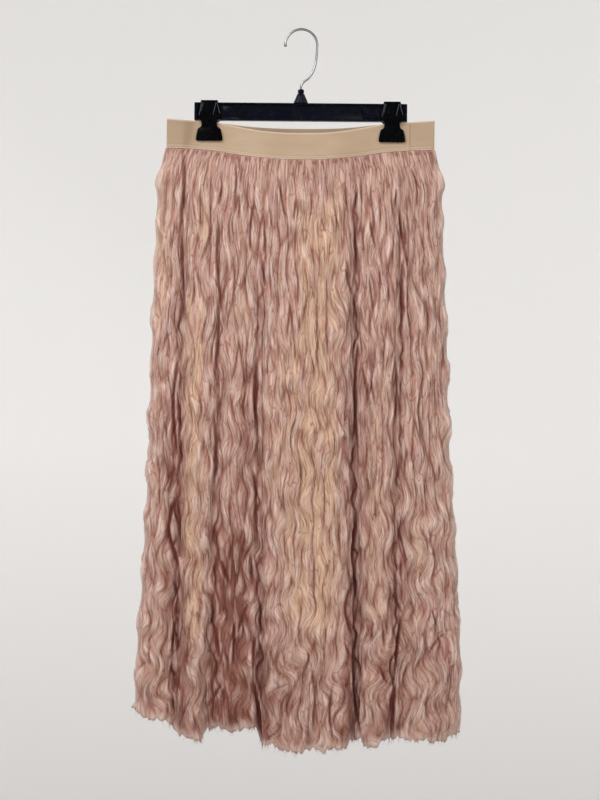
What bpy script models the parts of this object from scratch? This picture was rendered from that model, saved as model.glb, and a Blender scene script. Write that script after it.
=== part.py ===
"""Crinkle-pleated chiffon maxi skirt with an elastic waistband, hung on a clip hanger.

The frame's origin is where a rail bears on the hook, under the crown of its wire.
+X runs to the wearer's left across the hanger, -Y is the front of the skirt and +Z is up.
Every name that ends in _MM is in millimetres. Mesh coordinates are turned to metres at the end.
"""
from math import cos, pi, radians, sin

import bmesh
import bpy
import numpy as np

MM = 0.001

# Gaps between pieces that touch on the real object
SEAM_GAP_MM = 0.3
MID_GAP_MM = 0.15

# Hook, bent from steel wire
WIRE_DIAMETER_MM = 3.4
HOOK_RADIUS_MM = 22.9
HOOK_TIP_ANGLE = 180.0
HOOK_RIGHT_ANGLE = -8.0
HOOK_ARC_STEPS = 16
HOOK_STEM_STEPS = 3
HOOK_TIP_DIAMETER_MM = 4.8
WIRE_SIDES = 8
# across, height: the long return of the wire from the bow to the neck
HOOK_STEM_MM = (
    (20.7, -46.3),
    (15.8, -61.3),
    (9.6, -69.3),
    (1.9, -76.0),
    (0.0, -81.0),
    (0.0, -84.7),
)

# Neck that the wire is moulded into
NECK_RIBS = 8
NECK_SIDES_PER_RIB = 4
# height, radius, rib height
NECK_PROFILE_MM = (
    (-85.0, 3.9, 0.0),
    (-90.0, 3.9, 0.0),
    (-90.0, 3.2, 0.3),
    (-97.0, 5.9, 0.7),
    (-105.0, 9.2, 0.9),
)

# Bar, a beam with pockets on both faces
BAR_HALF_LENGTH_MM = 153.0
BAR_TOP_MM = -105.3
BAR_BOTTOM_MM = -130.5
BAR_HALF_DEPTH_MM = 4.5
BAR_FLANGE_MM = 2.6
BAR_WEB_MM = 2.2
BAR_RIB_MM = 1.8
BAR_RIB_AT_MM = 88.7
BAR_END_MM = 4.0
BAR_EDGE_MM = 0.5

# Clips, each one saddle over the bar with a front and a back jaw
CLIP_CENTRE_MM = 131.3
CLIP_ARM_MM = 2.8
# place on the leg, height, half width, distance of the inner face from the mid plane
CLIP_LEG_MM = (
    ("pad foot", -160.4, 16.4, 2.4),
    ("pad corner", -159.0, 19.0, 2.3),
    ("pad side", -154.0, 19.2, 2.3),
    ("pad shoulder", -143.6, 17.2, 2.3),
    ("pad top", -141.2, 14.6, 2.3),
    ("throat", -139.4, 11.6, 2.9),
    ("waist of the leg", -132.6, 11.2, 4.0),
    ("handle foot", -129.8, 16.8, 4.8),
    ("handle", -118.0, 15.2, 4.8),
    ("handle top", -105.2, 12.6, 4.8),
)
SADDLE_UNDERSIDE_MM = -105.0
SADDLE_TOP_MM = -102.4
SADDLE_HALF_WIDTH_MM = 12.2

# Waistband, a ring of flat elastic that hangs from the clips
BAND_HALF_WIDTH_MM = 192.0
BAND_THICKNESS_MM = 1.6
BAND_PINCH_MM = 1.15
BAND_ROWS = (0.0, 0.4, 0.7, 1.0)
BAND_SAG_REACH_MM = 108.0
BAND_SAG_FADE_MM = 62.0
BAND_FOOT_SPREAD_MM = 2.5
BAND_FOOT_FROM = 0.66
BAND_COLUMNS = 24
BAND_END_STEPS = 4
# distance from the middle, front top, front foot, back top
BAND_EDGES_MM = (
    (0.0, -149.3, -189.5, -140.5),
    (25.0, -148.9, -189.0, -140.3),
    (45.0, -147.6, -187.6, -139.8),
    (63.0, -145.3, -185.5, -139.0),
    (80.0, -142.2, -182.8, -138.0),
    (99.0, -138.0, -179.2, -136.2),
    (113.0, -135.2, -176.6, -134.8),
    (131.0, -132.6, -174.5, -132.6),
    (155.0, -131.0, -172.8, -131.0),
    (192.0, -128.3, -171.3, -128.3),
)
BACK_BAND_DROP_MM = 43.0
# how far each layer of the band bows out between the clips, at its top and at its foot
BAND_BOW_MM = {"front": (7.5, 16.0), "back": (6.0, 13.0)}

# Skirt panels
PANEL_COLUMNS = 76
PANEL_ROWS = 28
PANEL_ROW_SPREAD = 1.12
PANEL_INNER_ROWS = (0, 1, 2, 4, 6, 9, 12, 16, 20, 24, 28)
PANEL_WALL_TOP_MM = 1.6
PANEL_WALL_MM = 2.6
PANEL_PROUD_MM = 1.3
FLARE_MM = 85.0
SEAM_SIDE_MM = -171.0
SKIRT_DROP_MM = 850.0
TOP_SQUARENESS = 40.0
LOW_SQUARENESS = 3.4
SECTION_SAMPLES = 361
SETTLING_TURNS = 3
NORMAL_REACH_MM = 4.0
INSIDE_GROOVE = 1.6
FOLD_START_MM = 90.0
# height, reach of the plain wall to the left and to the right
SILHOUETTE_MM = (
    (-171.0, 194.2, 194.2),
    (-184.0, 197.5, 197.0),
    (-203.0, 201.0, 200.5),
    (-230.0, 203.5, 203.0),
    (-290.0, 205.5, 205.5),
    (-342.0, 207.2, 207.2),
    (-394.0, 209.0, 210.0),
    (-463.0, 211.5, 213.0),
    (-532.0, 213.0, 215.0),
    (-601.0, 214.5, 218.0),
    (-687.0, 217.0, 223.5),
    (-791.0, 222.0, 230.0),
    (-895.0, 228.0, 235.0),
    (-971.0, 231.0, 235.0),
    (-1040.0, 230.5, 232.5),
)
SIDE_LOBE_MM = 3.2
SIDE_LOBE_LENGTH_MM = 71.0
# height, half depth of the front, half depth of the back
DEPTH_MM = (
    (-171.0, 16.0, 14.0),
    (-240.0, 25.0, 22.0),
    (-330.0, 29.0, 25.0),
    (-560.0, 34.0, 29.0),
    (-800.0, 39.0, 33.0),
    (-1040.0, 44.0, 37.0),
)
# name, place at the waist and at the hem as a share of the half width,
# height where it is fully formed, depth above that height, depth at the hem, half width of the groove
FRONT_FOLDS_MM = (
    ("outer left", -0.795, -0.738, -260.0, 5.0, 13.0, 8.0),
    ("left", -0.520, -0.545, -420.0, 3.0, 15.0, 8.5),
    ("left of middle", -0.265, -0.219, -460.0, 2.5, 16.0, 8.0),
    ("right of middle", 0.378, 0.359, -330.0, 7.0, 17.0, 8.0),
    ("right", 0.715, 0.590, -330.0, 6.0, 10.0, 8.5),
)
BACK_FOLDS_MM = (
    ("outer right", 0.770, 0.725, -300.0, 4.0, 12.0, 8.5),
    ("right", 0.470, 0.500, -360.0, 4.0, 13.0, 8.5),
    ("middle", 0.105, 0.080, -280.0, 6.0, 14.0, 8.0),
    ("left", -0.330, -0.365, -400.0, 3.5, 13.0, 8.5),
    ("outer left", -0.690, -0.660, -330.0, 5.0, 12.0, 8.5),
)
# name, place of the middle at the waist and at the hem, half width, height where it starts, how far out
FRONT_SWELLS_MM = (
    ("middle column", 0.060, 0.070, 62.0, -330.0, 6.0),
    ("hollow column", -0.400, -0.385, 24.0, -520.0, -7.0),
    ("right column", 0.540, 0.480, 26.0, -420.0, 3.0),
)
BACK_SWELLS_MM = (
    ("left column", -0.510, -0.500, 34.0, -420.0, 4.0),
    ("right column", 0.290, 0.280, 36.0, -420.0, 4.0),
)
FOLD_FORMING_MM = 220.0
# place across, height: the lower edge of each panel, in steps from fold to fold
FRONT_HEM_MM = (
    (-240.0, -973.0),
    (-226.0, -977.0),
    (-206.0, -985.0),
    (-180.0, -991.0),
    (-163.0, -1008.0),
    (-134.0, -1011.0),
    (-126.0, -998.0),
    (-90.0, -1000.0),
    (-56.0, -997.0),
    (-46.0, -1022.0),
    (10.0, -1026.0),
    (70.0, -1021.0),
    (77.0, -1009.0),
    (92.0, -1010.0),
    (97.0, -1021.0),
    (115.0, -1021.0),
    (122.0, -1010.0),
    (160.0, -1010.0),
    (168.0, -1015.0),
    (205.0, -1015.0),
    (222.0, -1008.0),
    (240.0, -1003.0),
)
BACK_HEM_MM = (
    (-240.0, -973.0),
    (-205.0, -990.0),
    (-150.0, -1001.0),
    (-80.0, -1008.0),
    (-20.0, -1002.0),
    (40.0, -1011.0),
    (110.0, -1004.0),
    (170.0, -1009.0),
    (215.0, -1005.0),
    (240.0, -1003.0),
)

# Crinkle, raised on the outside of the panels
CRINKLE_MM = 3.0
CRINKLE_AT_SEAM_MM = 1.4
CRINKLE_UNEVEN = 0.35
CRINKLE_SWAY_MM = 4.2
CRINKLE_SWAY_LENGTH_MM = 96.0
CRINKLE_SWAY_ACROSS_MM = 68.0

# Lining, a shorter and narrower plain tube
LINING_WALL_MM = 1.0
LINING_FOOT_MM = -900.0
LINING_HALF_WIDTH_MM = 187.0
LINING_SPREAD_MM = 6.0
LINING_SIDE_SHARE = 0.992
LINING_AT_BAND_MM = 0.5
LINING_CLEARANCE_MM = 1.5
# share of the way from the foot of the elastic to the lining's own edge; the first row is tucked up
LINING_ROWS = (-0.004, 0.014, 0.07, 0.22, 0.45, 0.72, 1.0)
# height, half depth
LINING_DEPTH_MM = (
    (-166.0, 16.0),
    (-260.0, 14.0),
    (-560.0, 15.0),
    (-900.0, 17.0),
)

# Colours, linear values of what the photograph shows
CHIFFON_PINK = (0.48, 0.31, 0.26, 1.0)
LINING_TAN = (0.58, 0.40, 0.26, 1.0)
ELASTIC_BEIGE = (0.52, 0.38, 0.25, 1.0)
HANGER_NAVY = (0.008, 0.009, 0.016, 1.0)
WIRE_STEEL = (0.60, 0.60, 0.62, 1.0)


def clear_scene():
    for old in list(bpy.data.objects):
        bpy.data.objects.remove(old, do_unlink=True)


def make_material(name, colour, roughness, metallic=0.0):
    material = bpy.data.materials.new(name)
    material.use_nodes = True
    shader = material.node_tree.nodes["Principled BSDF"]
    shader.inputs["Base Color"].default_value = colour
    shader.inputs["Roughness"].default_value = roughness
    shader.inputs["Metallic"].default_value = metallic
    return material


def make_object(name, points_mm, faces, material, smooth=True):
    """One closed solid from points in millimetres, with its faces turned outwards."""
    mesh = bpy.data.meshes.new(name)
    mesh.from_pydata([tuple(value * MM for value in point) for point in points_mm], [], faces)
    work = bmesh.new()
    work.from_mesh(mesh)
    bmesh.ops.recalc_face_normals(work, faces=work.faces)
    if work.calc_volume(signed=True) < 0.0:
        bmesh.ops.reverse_faces(work, faces=work.faces)
    work.to_mesh(mesh)
    work.free()
    mesh.materials.append(material)
    solid = bpy.data.objects.new(name, mesh)
    bpy.context.collection.objects.link(solid)
    if smooth:
        mesh.shade_smooth()
        mesh.set_sharp_from_angle(angle=radians(40.0))
    return solid


def smoothstep(value):
    share = np.clip(value, 0.0, 1.0)
    return share * share * (3.0 - 2.0 * share)


def curve_through(places, values, at):
    """A smooth curve through a table's rows, read at any place."""
    places = np.asarray(places, dtype=float)
    values = np.asarray(values, dtype=float)
    slopes = np.gradient(values, places)
    at = np.clip(at, places[0], places[-1])
    row = np.clip(np.searchsorted(places, at, side="right") - 1, 0, len(places) - 2)
    span = places[row + 1] - places[row]
    share = (at - places[row]) / span
    squared = share * share
    cubed = squared * share
    return (
        (2.0 * cubed - 3.0 * squared + 1.0) * values[row]
        + (cubed - 2.0 * squared + share) * span * slopes[row]
        + (3.0 * squared - 2.0 * cubed) * values[row + 1]
        + (cubed - squared) * span * slopes[row + 1]
    )


def down_table(rows, column, height):
    """Reads a table whose first column is a height that falls from row to row."""
    heights = [-row[0] for row in rows]
    return curve_through(heights, [row[column] for row in rows], -np.asarray(height, dtype=float))


def stitch(first, second, points):
    """Triangles between two chains of point numbers that run side by side."""
    places = []
    for chain in (first, second):
        steps = np.linalg.norm(np.diff(points[chain], axis=0), axis=1)
        places.append(np.concatenate(([0.0], np.cumsum(steps))) / steps.sum())
    faces = []
    near = 0
    far = 0
    while near < len(first) - 1 or far < len(second) - 1:
        near_done = near == len(first) - 1
        far_done = far == len(second) - 1
        if far_done or (not near_done and places[0][near + 1] <= places[1][far + 1]):
            faces.append((first[near], first[near + 1], second[far]))
            near += 1
        else:
            faces.append((first[near], second[far + 1], second[far]))
            far += 1
    return faces


def grid_faces(rows, columns, start=0):
    """Quads of a grid of points that is stored row by row."""
    faces = []
    for row in range(rows):
        for column in range(columns):
            corner = start + row * (columns + 1) + column
            below = corner + columns + 1
            faces.append((corner, corner + 1, below + 1, below))
    return faces


def shell_from_grids(outer, inner):
    """A closed wall between an outer grid of points and an inner grid that may be coarser."""
    outer_rows, outer_columns = outer.shape[0] - 1, outer.shape[1] - 1
    inner_rows, inner_columns = inner.shape[0] - 1, inner.shape[1] - 1
    start = outer.shape[0] * outer.shape[1]
    outer_number = np.arange(start).reshape(outer.shape[:2])
    inner_number = start + np.arange(inner.shape[0] * inner.shape[1]).reshape(inner.shape[:2])
    points = np.concatenate((outer.reshape(-1, 3), inner.reshape(-1, 3)))
    faces = grid_faces(outer_rows, outer_columns)
    faces += [tuple(reversed(face)) for face in grid_faces(inner_rows, inner_columns, start)]
    faces += stitch(inner_number[0], outer_number[0], points)
    faces += stitch(outer_number[-1], inner_number[-1], points)
    faces += stitch(outer_number[:, 0], inner_number[:, 0], points)
    faces += stitch(inner_number[:, -1], outer_number[:, -1], points)
    return points, [tuple(int(number) for number in face) for face in faces]


def band_edge(across, column):
    return curve_through(
        [row[0] for row in BAND_EDGES_MM], [row[column] for row in BAND_EDGES_MM], np.abs(across)
    )


def band_heights(across, side):
    """Top and foot of the elastic at a place across, on the front or the back."""
    if side == "front":
        return band_edge(across, 1), band_edge(across, 2)
    top = band_edge(across, 3)
    return top, top - BACK_BAND_DROP_MM


def band_depth(across, share, side):
    """Distance of the elastic's middle from the mid plane, from its top (0) to its foot (1)."""
    lens = smoothstep((BAND_SAG_REACH_MM - np.abs(across)) / BAND_SAG_FADE_MM)
    bow_top, bow_foot = BAND_BOW_MM[side]
    foot = BAND_FOOT_SPREAD_MM * smoothstep((share - BAND_FOOT_FROM) / (1.0 - BAND_FOOT_FROM))
    return BAND_PINCH_MM + foot + lens * (bow_top + (bow_foot - bow_top) * share)


def band_loop(share, offset):
    """One closed loop round the waistband, moved out or in from the middle of the elastic."""
    end_radius = float(band_depth(BAND_HALF_WIDTH_MM, share, "front"))
    end_centre = BAND_HALF_WIDTH_MM - end_radius
    across = np.linspace(-end_centre, end_centre, BAND_COLUMNS + 1)
    loop = []
    for side, sign in (("front", -1.0), ("back", 1.0)):
        places = across if side == "front" else across[::-1]
        top, foot = band_heights(places, side)
        depth = band_depth(places, share, side)
        slope = np.gradient(depth, places)
        length = np.hypot(slope, 1.0)
        for place, deep, high, low, lean, run in zip(places, depth, top, foot, slope, length):
            loop.append((
                place - offset * lean / run,
                sign * (deep + offset / run),
                high + (low - high) * share,
            ))
        turn = -sign
        high, low = band_heights(BAND_HALF_WIDTH_MM, side)
        for step in range(1, BAND_END_STEPS):
            angle = pi * step / BAND_END_STEPS - pi / 2.0
            loop.append((
                turn * (end_centre + (end_radius + offset) * cos(angle)),
                turn * (end_radius + offset) * sin(angle),
                float(high + (low - high) * share),
            ))
    return loop


def build_waistband(material):
    half = BAND_THICKNESS_MM / 2.0
    loops = [band_loop(share, half) for share in BAND_ROWS]
    loops += [band_loop(share, -half) for share in reversed(BAND_ROWS)]
    count = len(loops[0])
    faces = []
    for row in range(len(loops)):
        following = (row + 1) % len(loops)
        for column in range(count):
            beside = (column + 1) % count
            faces.append((
                row * count + column,
                row * count + beside,
                following * count + beside,
                following * count + column,
            ))
    points = [point for loop in loops for point in loop]
    return make_object("waistband", points, faces, material)


def half_width(height, sign):
    """Reach of the plain wall to the left (-1) or right (1), inside the crinkle on its side."""
    return down_table(SILHOUETTE_MM, 1 if sign < 0.0 else 2, height)


def fold_share(height, formed, hem=-1010.0):
    """How far a fold has formed: a little under the waist, all of it at the hem."""
    start = formed + FOLD_FORMING_MM
    early = smoothstep((start - height) / FOLD_FORMING_MM)
    late = np.clip((formed - height) / (formed - hem), 0.0, 1.0)
    return early, late


def relief(share_across, reach, height, side, widen):
    """Depth of the folds (inwards, positive) at a place across and a height."""
    folds, swells = (
        (FRONT_FOLDS_MM, FRONT_SWELLS_MM) if side == "front" else (BACK_FOLDS_MM, BACK_SWELLS_MM)
    )
    down = np.clip((SEAM_SIDE_MM - height) / SKIRT_DROP_MM, 0.0, 1.0)
    depth = np.zeros_like(share_across)
    for _name, waist_at, hem_at, formed, top_depth, hem_depth, groove in folds:
        early, late = fold_share(height, formed)
        middle = waist_at + (hem_at - waist_at) * down
        away = (share_across - middle) * reach / (groove * widen)
        depth += early * (top_depth + (hem_depth - top_depth) * late) * np.exp(-away * away)
    for _name, waist_at, hem_at, spread, start, out in swells:
        middle = waist_at + (hem_at - waist_at) * down
        away = (share_across - middle) * reach / spread
        early = smoothstep((start - height) / FOLD_FORMING_MM)
        depth -= out * early * np.exp(-(away ** 4))
    return depth


def section(height, below_seam, side, inset=0.0):
    """Half section of the skirt at a height, as dense points from left to right.

    With an inset it is the inside of the wall, whose grooves are wider and plainer.
    """
    share = np.sin(np.linspace(-pi / 2.0, pi / 2.0, SECTION_SAMPLES))
    left = float(half_width(height, -1.0))
    right = float(half_width(height, 1.0))
    reach = np.where(share < 0.0, left, right) - inset
    across = share * reach
    flare = 1.0 - (1.0 - min(max(below_seam / FLARE_MM, 0.0), 1.0)) ** 2
    squareness = TOP_SQUARENESS ** (1.0 - flare) * LOW_SQUARENESS ** flare
    at_band = band_depth(across, 1.0, side) + PANEL_PROUD_MM
    full = float(down_table(DEPTH_MM, 1 if side == "front" else 2, height))
    depth = at_band + (full - at_band) * flare
    widen = INSIDE_GROOVE if inset > 0.0 else 1.0
    depth = depth - relief(share, reach, height, side, widen) * smoothstep(below_seam / FOLD_START_MM)
    if inset > 0.0:
        depth = depth - inset * np.hypot(1.0, np.gradient(depth) / np.maximum(np.gradient(across), 0.05))
    round_end = np.sqrt(np.clip(1.0 - np.abs(share) ** squareness, 0.0, 1.0))
    return across, np.maximum(depth, 0.0) * round_end


def sway(run, below_seam, length):
    """Sideways wander of a crinkle ridge, in millimetres along the cloth."""
    first = np.sin(2.0 * pi * (below_seam / CRINKLE_SWAY_LENGTH_MM + run / CRINKLE_SWAY_ACROSS_MM))
    second = np.sin(
        2.0 * pi * (below_seam / (1.7 * CRINKLE_SWAY_LENGTH_MM) - run / (1.6 * CRINKLE_SWAY_ACROSS_MM))
        + 1.3
    )
    edge = smoothstep(run / 30.0) * smoothstep((length - run) / 30.0)
    return CRINKLE_SWAY_MM * (0.62 * first + 0.38 * second) * edge * smoothstep(below_seam / 60.0)


def panel_row(share_down, side):
    """One row of a panel: places, depths, heights, drops below the seam and outward directions."""
    steps = np.linspace(0.0, 1.0, PANEL_COLUMNS + 1)
    hem_rows = FRONT_HEM_MM if side == "front" else BACK_HEM_MM
    hem_places = [row[0] for row in hem_rows]
    hem_heights = [row[1] for row in hem_rows]
    across = (2.0 * steps - 1.0) * BAND_HALF_WIDTH_MM
    for _ in range(SETTLING_TURNS):
        at_band = np.clip(across, -BAND_HALF_WIDTH_MM, BAND_HALF_WIDTH_MM)
        seam = band_heights(at_band, side)[1] - SEAM_GAP_MM
        below = (seam - np.interp(across, hem_places, hem_heights)) * share_down
        height = seam - below
        depth = np.zeros(PANEL_COLUMNS + 1)
        normal = np.zeros((PANEL_COLUMNS + 1, 2))
        settled = np.zeros(PANEL_COLUMNS + 1)
        for column in range(PANEL_COLUMNS + 1):
            xs, ys = section(float(height[column]), float(below[column]), side)
            run = np.concatenate(([0.0], np.cumsum(np.hypot(np.diff(xs), np.diff(ys)))))
            at = steps[column] * run[-1]
            at += float(sway(at, float(below[column]), run[-1]))
            settled[column] = np.interp(at, run, xs)
            depth[column] = np.interp(at, run, ys)
            ends = np.clip((at - NORMAL_REACH_MM, at + NORMAL_REACH_MM), 0.0, run[-1])
            along_x = np.diff(np.interp(ends, run, xs))[0]
            along_y = np.diff(np.interp(ends, run, ys))[0]
            length = np.hypot(along_x, along_y)
            normal[column] = (-along_y / length, along_x / length)
        across = settled
    return across, depth, height, below, normal


def crinkle(column, below):
    """Height of the crinkle: every second column is a ridge, none as high as the next."""
    ridge = column % 2
    uneven = 1.0 + CRINKLE_UNEVEN * np.sin(column * 1.9 + below / 37.0)
    grown = CRINKLE_AT_SEAM_MM + (CRINKLE_MM - CRINKLE_AT_SEAM_MM) * smoothstep(below / 70.0)
    at_side = np.minimum(column, PANEL_COLUMNS - column) == 1
    lobe = SIDE_LOBE_MM * np.sin(2.0 * pi * below / SIDE_LOBE_LENGTH_MM + 0.03 * column)
    return ridge * uneven * grown + at_side * lobe * smoothstep(below / FLARE_MM - 0.4)


def outside_row(share_down, side):
    """The crinkled outside of a panel along one row."""
    across, depth, height, below, normal = panel_row(share_down, side)
    out = crinkle(np.arange(PANEL_COLUMNS + 1), below)
    y = np.maximum(depth + normal[:, 1] * out, MID_GAP_MM)
    y[[0, -1]] = MID_GAP_MM
    return across + normal[:, 0] * out, y, height


def inside_row(share_down, side):
    """The plain inside of a panel along one row, each point behind one of the outside."""
    across, _depth, height, below, _normal = panel_row(share_down, side)
    x = np.zeros(PANEL_COLUMNS + 1)
    y = np.zeros(PANEL_COLUMNS + 1)
    for column, (place, high, drop) in enumerate(zip(across, height, below)):
        wall = PANEL_WALL_TOP_MM + (PANEL_WALL_MM - PANEL_WALL_TOP_MM) * float(smoothstep(drop / FLARE_MM))
        xs, ys = section(float(high), float(drop), side, wall)
        x[column] = place * xs[-1] / (xs[-1] + wall) if place > 0.0 else place * xs[0] / (xs[0] - wall)
        y[column] = max(float(np.interp(x[column], xs, ys)), MID_GAP_MM)
    y[[0, -1]] = MID_GAP_MM
    return x, y, height


def build_panel(side, material):
    """Front or back of the skirt, crinkled outside and plain inside."""
    sign = -1.0 if side == "front" else 1.0
    shares = np.linspace(0.0, 1.0, PANEL_ROWS + 1) ** PANEL_ROW_SPREAD
    outer = [outside_row(share, side) for share in shares]
    inner = [inside_row(shares[row], side) for row in PANEL_INNER_ROWS]
    grids = [
        np.array([np.stack((x, sign * y, height), axis=1) for x, y, height in rows])
        for rows in (outer, inner)
    ]
    points, faces = shell_from_grids(*grids)
    return make_object("skirt_" + side, points, faces, material)


def lining_room(across, height, below_seam, side):
    """How deep the lining may lie at a place across, clear of the inside of the skirt."""
    xs, ys = section(height, below_seam, side, PANEL_WALL_MM)
    near = np.clip(across + np.linspace(-1.0, 1.0, 7) * LINING_CLEARANCE_MM * 2.0, xs[0], xs[-1])
    return float(np.interp(near, xs, ys).min()) - LINING_CLEARANCE_MM


def build_lining(side, material):
    """Plain panel inside the skirt, tucked inside the foot of the elastic."""
    sign = -1.0 if side == "front" else 1.0
    shares = np.linspace(-LINING_SIDE_SHARE, LINING_SIDE_SHARE, BAND_COLUMNS + 1)
    shares = np.concatenate(([-1.0], shares, [1.0]))
    outer = []
    inner = []
    for down in LINING_ROWS:
        across = shares * (LINING_HALF_WIDTH_MM + LINING_SPREAD_MM * max(down, 0.0))
        at_band = np.clip(across, -BAND_HALF_WIDTH_MM, BAND_HALF_WIDTH_MM)
        top, foot = band_heights(at_band, side)
        height = foot + (LINING_FOOT_MM - foot) * down
        band_share = np.clip((height - top) / (foot - top), 0.0, 1.0)
        inside_band = band_depth(at_band, band_share, side) - BAND_THICKNESS_MM / 2.0 - LINING_AT_BAND_MM
        free = down_table(LINING_DEPTH_MM, 1, height)
        loose = smoothstep((foot - height) / 60.0)
        depth = inside_band + (np.minimum(free, 3.0 * inside_band + 6.0) - inside_band) * loose
        if down > 0.0:
            room = [
                lining_room(place, float(high), float(low - high), side)
                for place, high, low in zip(across, height, foot)
            ]
            depth = np.minimum(depth, room)
        depth[0] = MID_GAP_MM
        depth[-1] = MID_GAP_MM
        back = np.maximum(depth - LINING_WALL_MM, MID_GAP_MM)
        inner_across = across * (1.0 - LINING_WALL_MM / LINING_HALF_WIDTH_MM)
        outer.append(np.stack((across, sign * depth, height), axis=1))
        inner.append(np.stack((inner_across, sign * back, height), axis=1))
    points, faces = shell_from_grids(np.array(outer), np.array(inner))
    return make_object("lining_" + side, points, faces, material)


def hook_route():
    """Centre line of the wire, from the tip over the crown and down to the neck."""
    centre = WIRE_DIAMETER_MM / 2.0 - HOOK_RADIUS_MM
    route = []
    for step in range(HOOK_ARC_STEPS + 1):
        angle = radians(HOOK_TIP_ANGLE + (HOOK_RIGHT_ANGLE - HOOK_TIP_ANGLE) * step / HOOK_ARC_STEPS)
        route.append((HOOK_RADIUS_MM * cos(angle), centre + HOOK_RADIUS_MM * sin(angle)))
    knots = [route[-2], route[-1], *HOOK_STEM_MM]
    places = np.concatenate(([0.0], np.cumsum([
        np.hypot(after[0] - before[0], after[1] - before[1]) for before, after in zip(knots, knots[1:])
    ])))
    for start, end in zip(places[1:], places[2:]):
        for step in range(1, HOOK_STEM_STEPS + 1):
            at = start + (end - start) * step / HOOK_STEM_STEPS
            route.append(tuple(
                float(curve_through(places, [knot[axis] for knot in knots], at)) for axis in (0, 1)
            ))
    return route


def build_hook(material):
    """The wire as a tube, round in section, with a small bead on its tip."""
    route = hook_route()
    radii = [WIRE_DIAMETER_MM / 2.0] * len(route)
    bead = HOOK_TIP_DIAMETER_MM / 2.0
    tip = route[0]
    bead_rows = [(-2.2, 0.35), (-1.9, 0.7), (-1.1, 0.95), (0.0, 1.0), (1.0, 0.9)]
    start = [(tip[0], tip[1] + along) for along, _ in bead_rows]
    route = start + [(tip[0], tip[1] + 1.9)] + route[1:]
    radii = [bead * swell for _, swell in bead_rows] + radii
    points = []
    for number, ((x, z), radius) in enumerate(zip(route, radii)):
        before = route[max(number - 1, 0)]
        after = route[min(number + 1, len(route) - 1)]
        run = np.hypot(after[0] - before[0], after[1] - before[1])
        side_x, side_z = (after[1] - before[1]) / run, -(after[0] - before[0]) / run
        for step in range(WIRE_SIDES):
            angle = 2.0 * pi * step / WIRE_SIDES
            out = radius * cos(angle)
            points.append((x + side_x * out, radius * sin(angle), z + side_z * out))
    faces = []
    for row in range(len(route) - 1):
        for step in range(WIRE_SIDES):
            beside = (step + 1) % WIRE_SIDES
            faces.append((
                row * WIRE_SIDES + step,
                row * WIRE_SIDES + beside,
                (row + 1) * WIRE_SIDES + beside,
                (row + 1) * WIRE_SIDES + step,
            ))
    faces.append(tuple(range(WIRE_SIDES)))
    last = (len(route) - 1) * WIRE_SIDES
    faces.append(tuple(range(last, last + WIRE_SIDES)))
    return make_object("hanger_hook", points, faces, material)


def build_neck(material):
    """Ribbed cone between the wire and the bar."""
    sides = NECK_RIBS * NECK_SIDES_PER_RIB
    points = []
    for height, radius, rib in NECK_PROFILE_MM:
        for step in range(sides):
            angle = 2.0 * pi * step / sides
            swell = radius + rib * (0.5 + 0.5 * cos(NECK_RIBS * angle))
            points.append((swell * cos(angle), swell * sin(angle) * 0.62, height))
    faces = []
    for row in range(len(NECK_PROFILE_MM) - 1):
        for step in range(sides):
            beside = (step + 1) % sides
            faces.append((
                row * sides + step,
                row * sides + beside,
                (row + 1) * sides + beside,
                (row + 1) * sides + step,
            ))
    faces.append(tuple(range(sides)))
    last = (len(NECK_PROFILE_MM) - 1) * sides
    faces.append(tuple(range(last, last + sides)))
    return make_object("hanger_neck", points, faces, material)


def add_box(name, low_mm, high_mm, material):
    """A plain box between two corners, in millimetres."""
    bpy.ops.mesh.primitive_cube_add(
        size=1.0, location=[(low + high) / 2.0 * MM for low, high in zip(low_mm, high_mm)]
    )
    box = bpy.context.object
    box.name = name
    box.scale = [(high - low) * MM for low, high in zip(low_mm, high_mm)]
    bpy.ops.object.transform_apply(location=False, rotation=False, scale=True)
    box.data.materials.append(material)
    return box


def build_bar(material):
    """Beam of the hanger, pocketed on both faces between its flanges, ribs and ends."""
    bar = add_box(
        "hanger_bar",
        (-BAR_HALF_LENGTH_MM, -BAR_HALF_DEPTH_MM, BAR_BOTTOM_MM),
        (BAR_HALF_LENGTH_MM, BAR_HALF_DEPTH_MM, BAR_TOP_MM),
        material,
    )
    bevel = bar.modifiers.new("soft edges", "BEVEL")
    bevel.width = BAR_EDGE_MM * MM
    bevel.segments = 1
    half_rib = BAR_RIB_MM / 2.0
    bays = (
        (-BAR_HALF_LENGTH_MM + BAR_END_MM, -BAR_RIB_AT_MM - half_rib),
        (-BAR_RIB_AT_MM + half_rib, BAR_RIB_AT_MM - half_rib),
        (BAR_RIB_AT_MM + half_rib, BAR_HALF_LENGTH_MM - BAR_END_MM),
    )
    for side, sign in (("front", -1.0), ("back", 1.0)):
        for number, (start, end) in enumerate(bays, 1):
            near = sign * BAR_WEB_MM / 2.0
            far = sign * (BAR_HALF_DEPTH_MM + 1.0)
            pocket = add_box(
                "pocket_{}_{}".format(side, number),
                (start, min(near, far), BAR_BOTTOM_MM + BAR_FLANGE_MM),
                (end, max(near, far), BAR_TOP_MM - BAR_FLANGE_MM),
                material,
            )
            pocket.hide_render = True
            pocket.display_type = "WIRE"
            cut = bar.modifiers.new("pocket {} {}".format(side, number), "BOOLEAN")
            cut.operation = "DIFFERENCE"
            cut.solver = "EXACT"
            cut.object = pocket
    return bar


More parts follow.
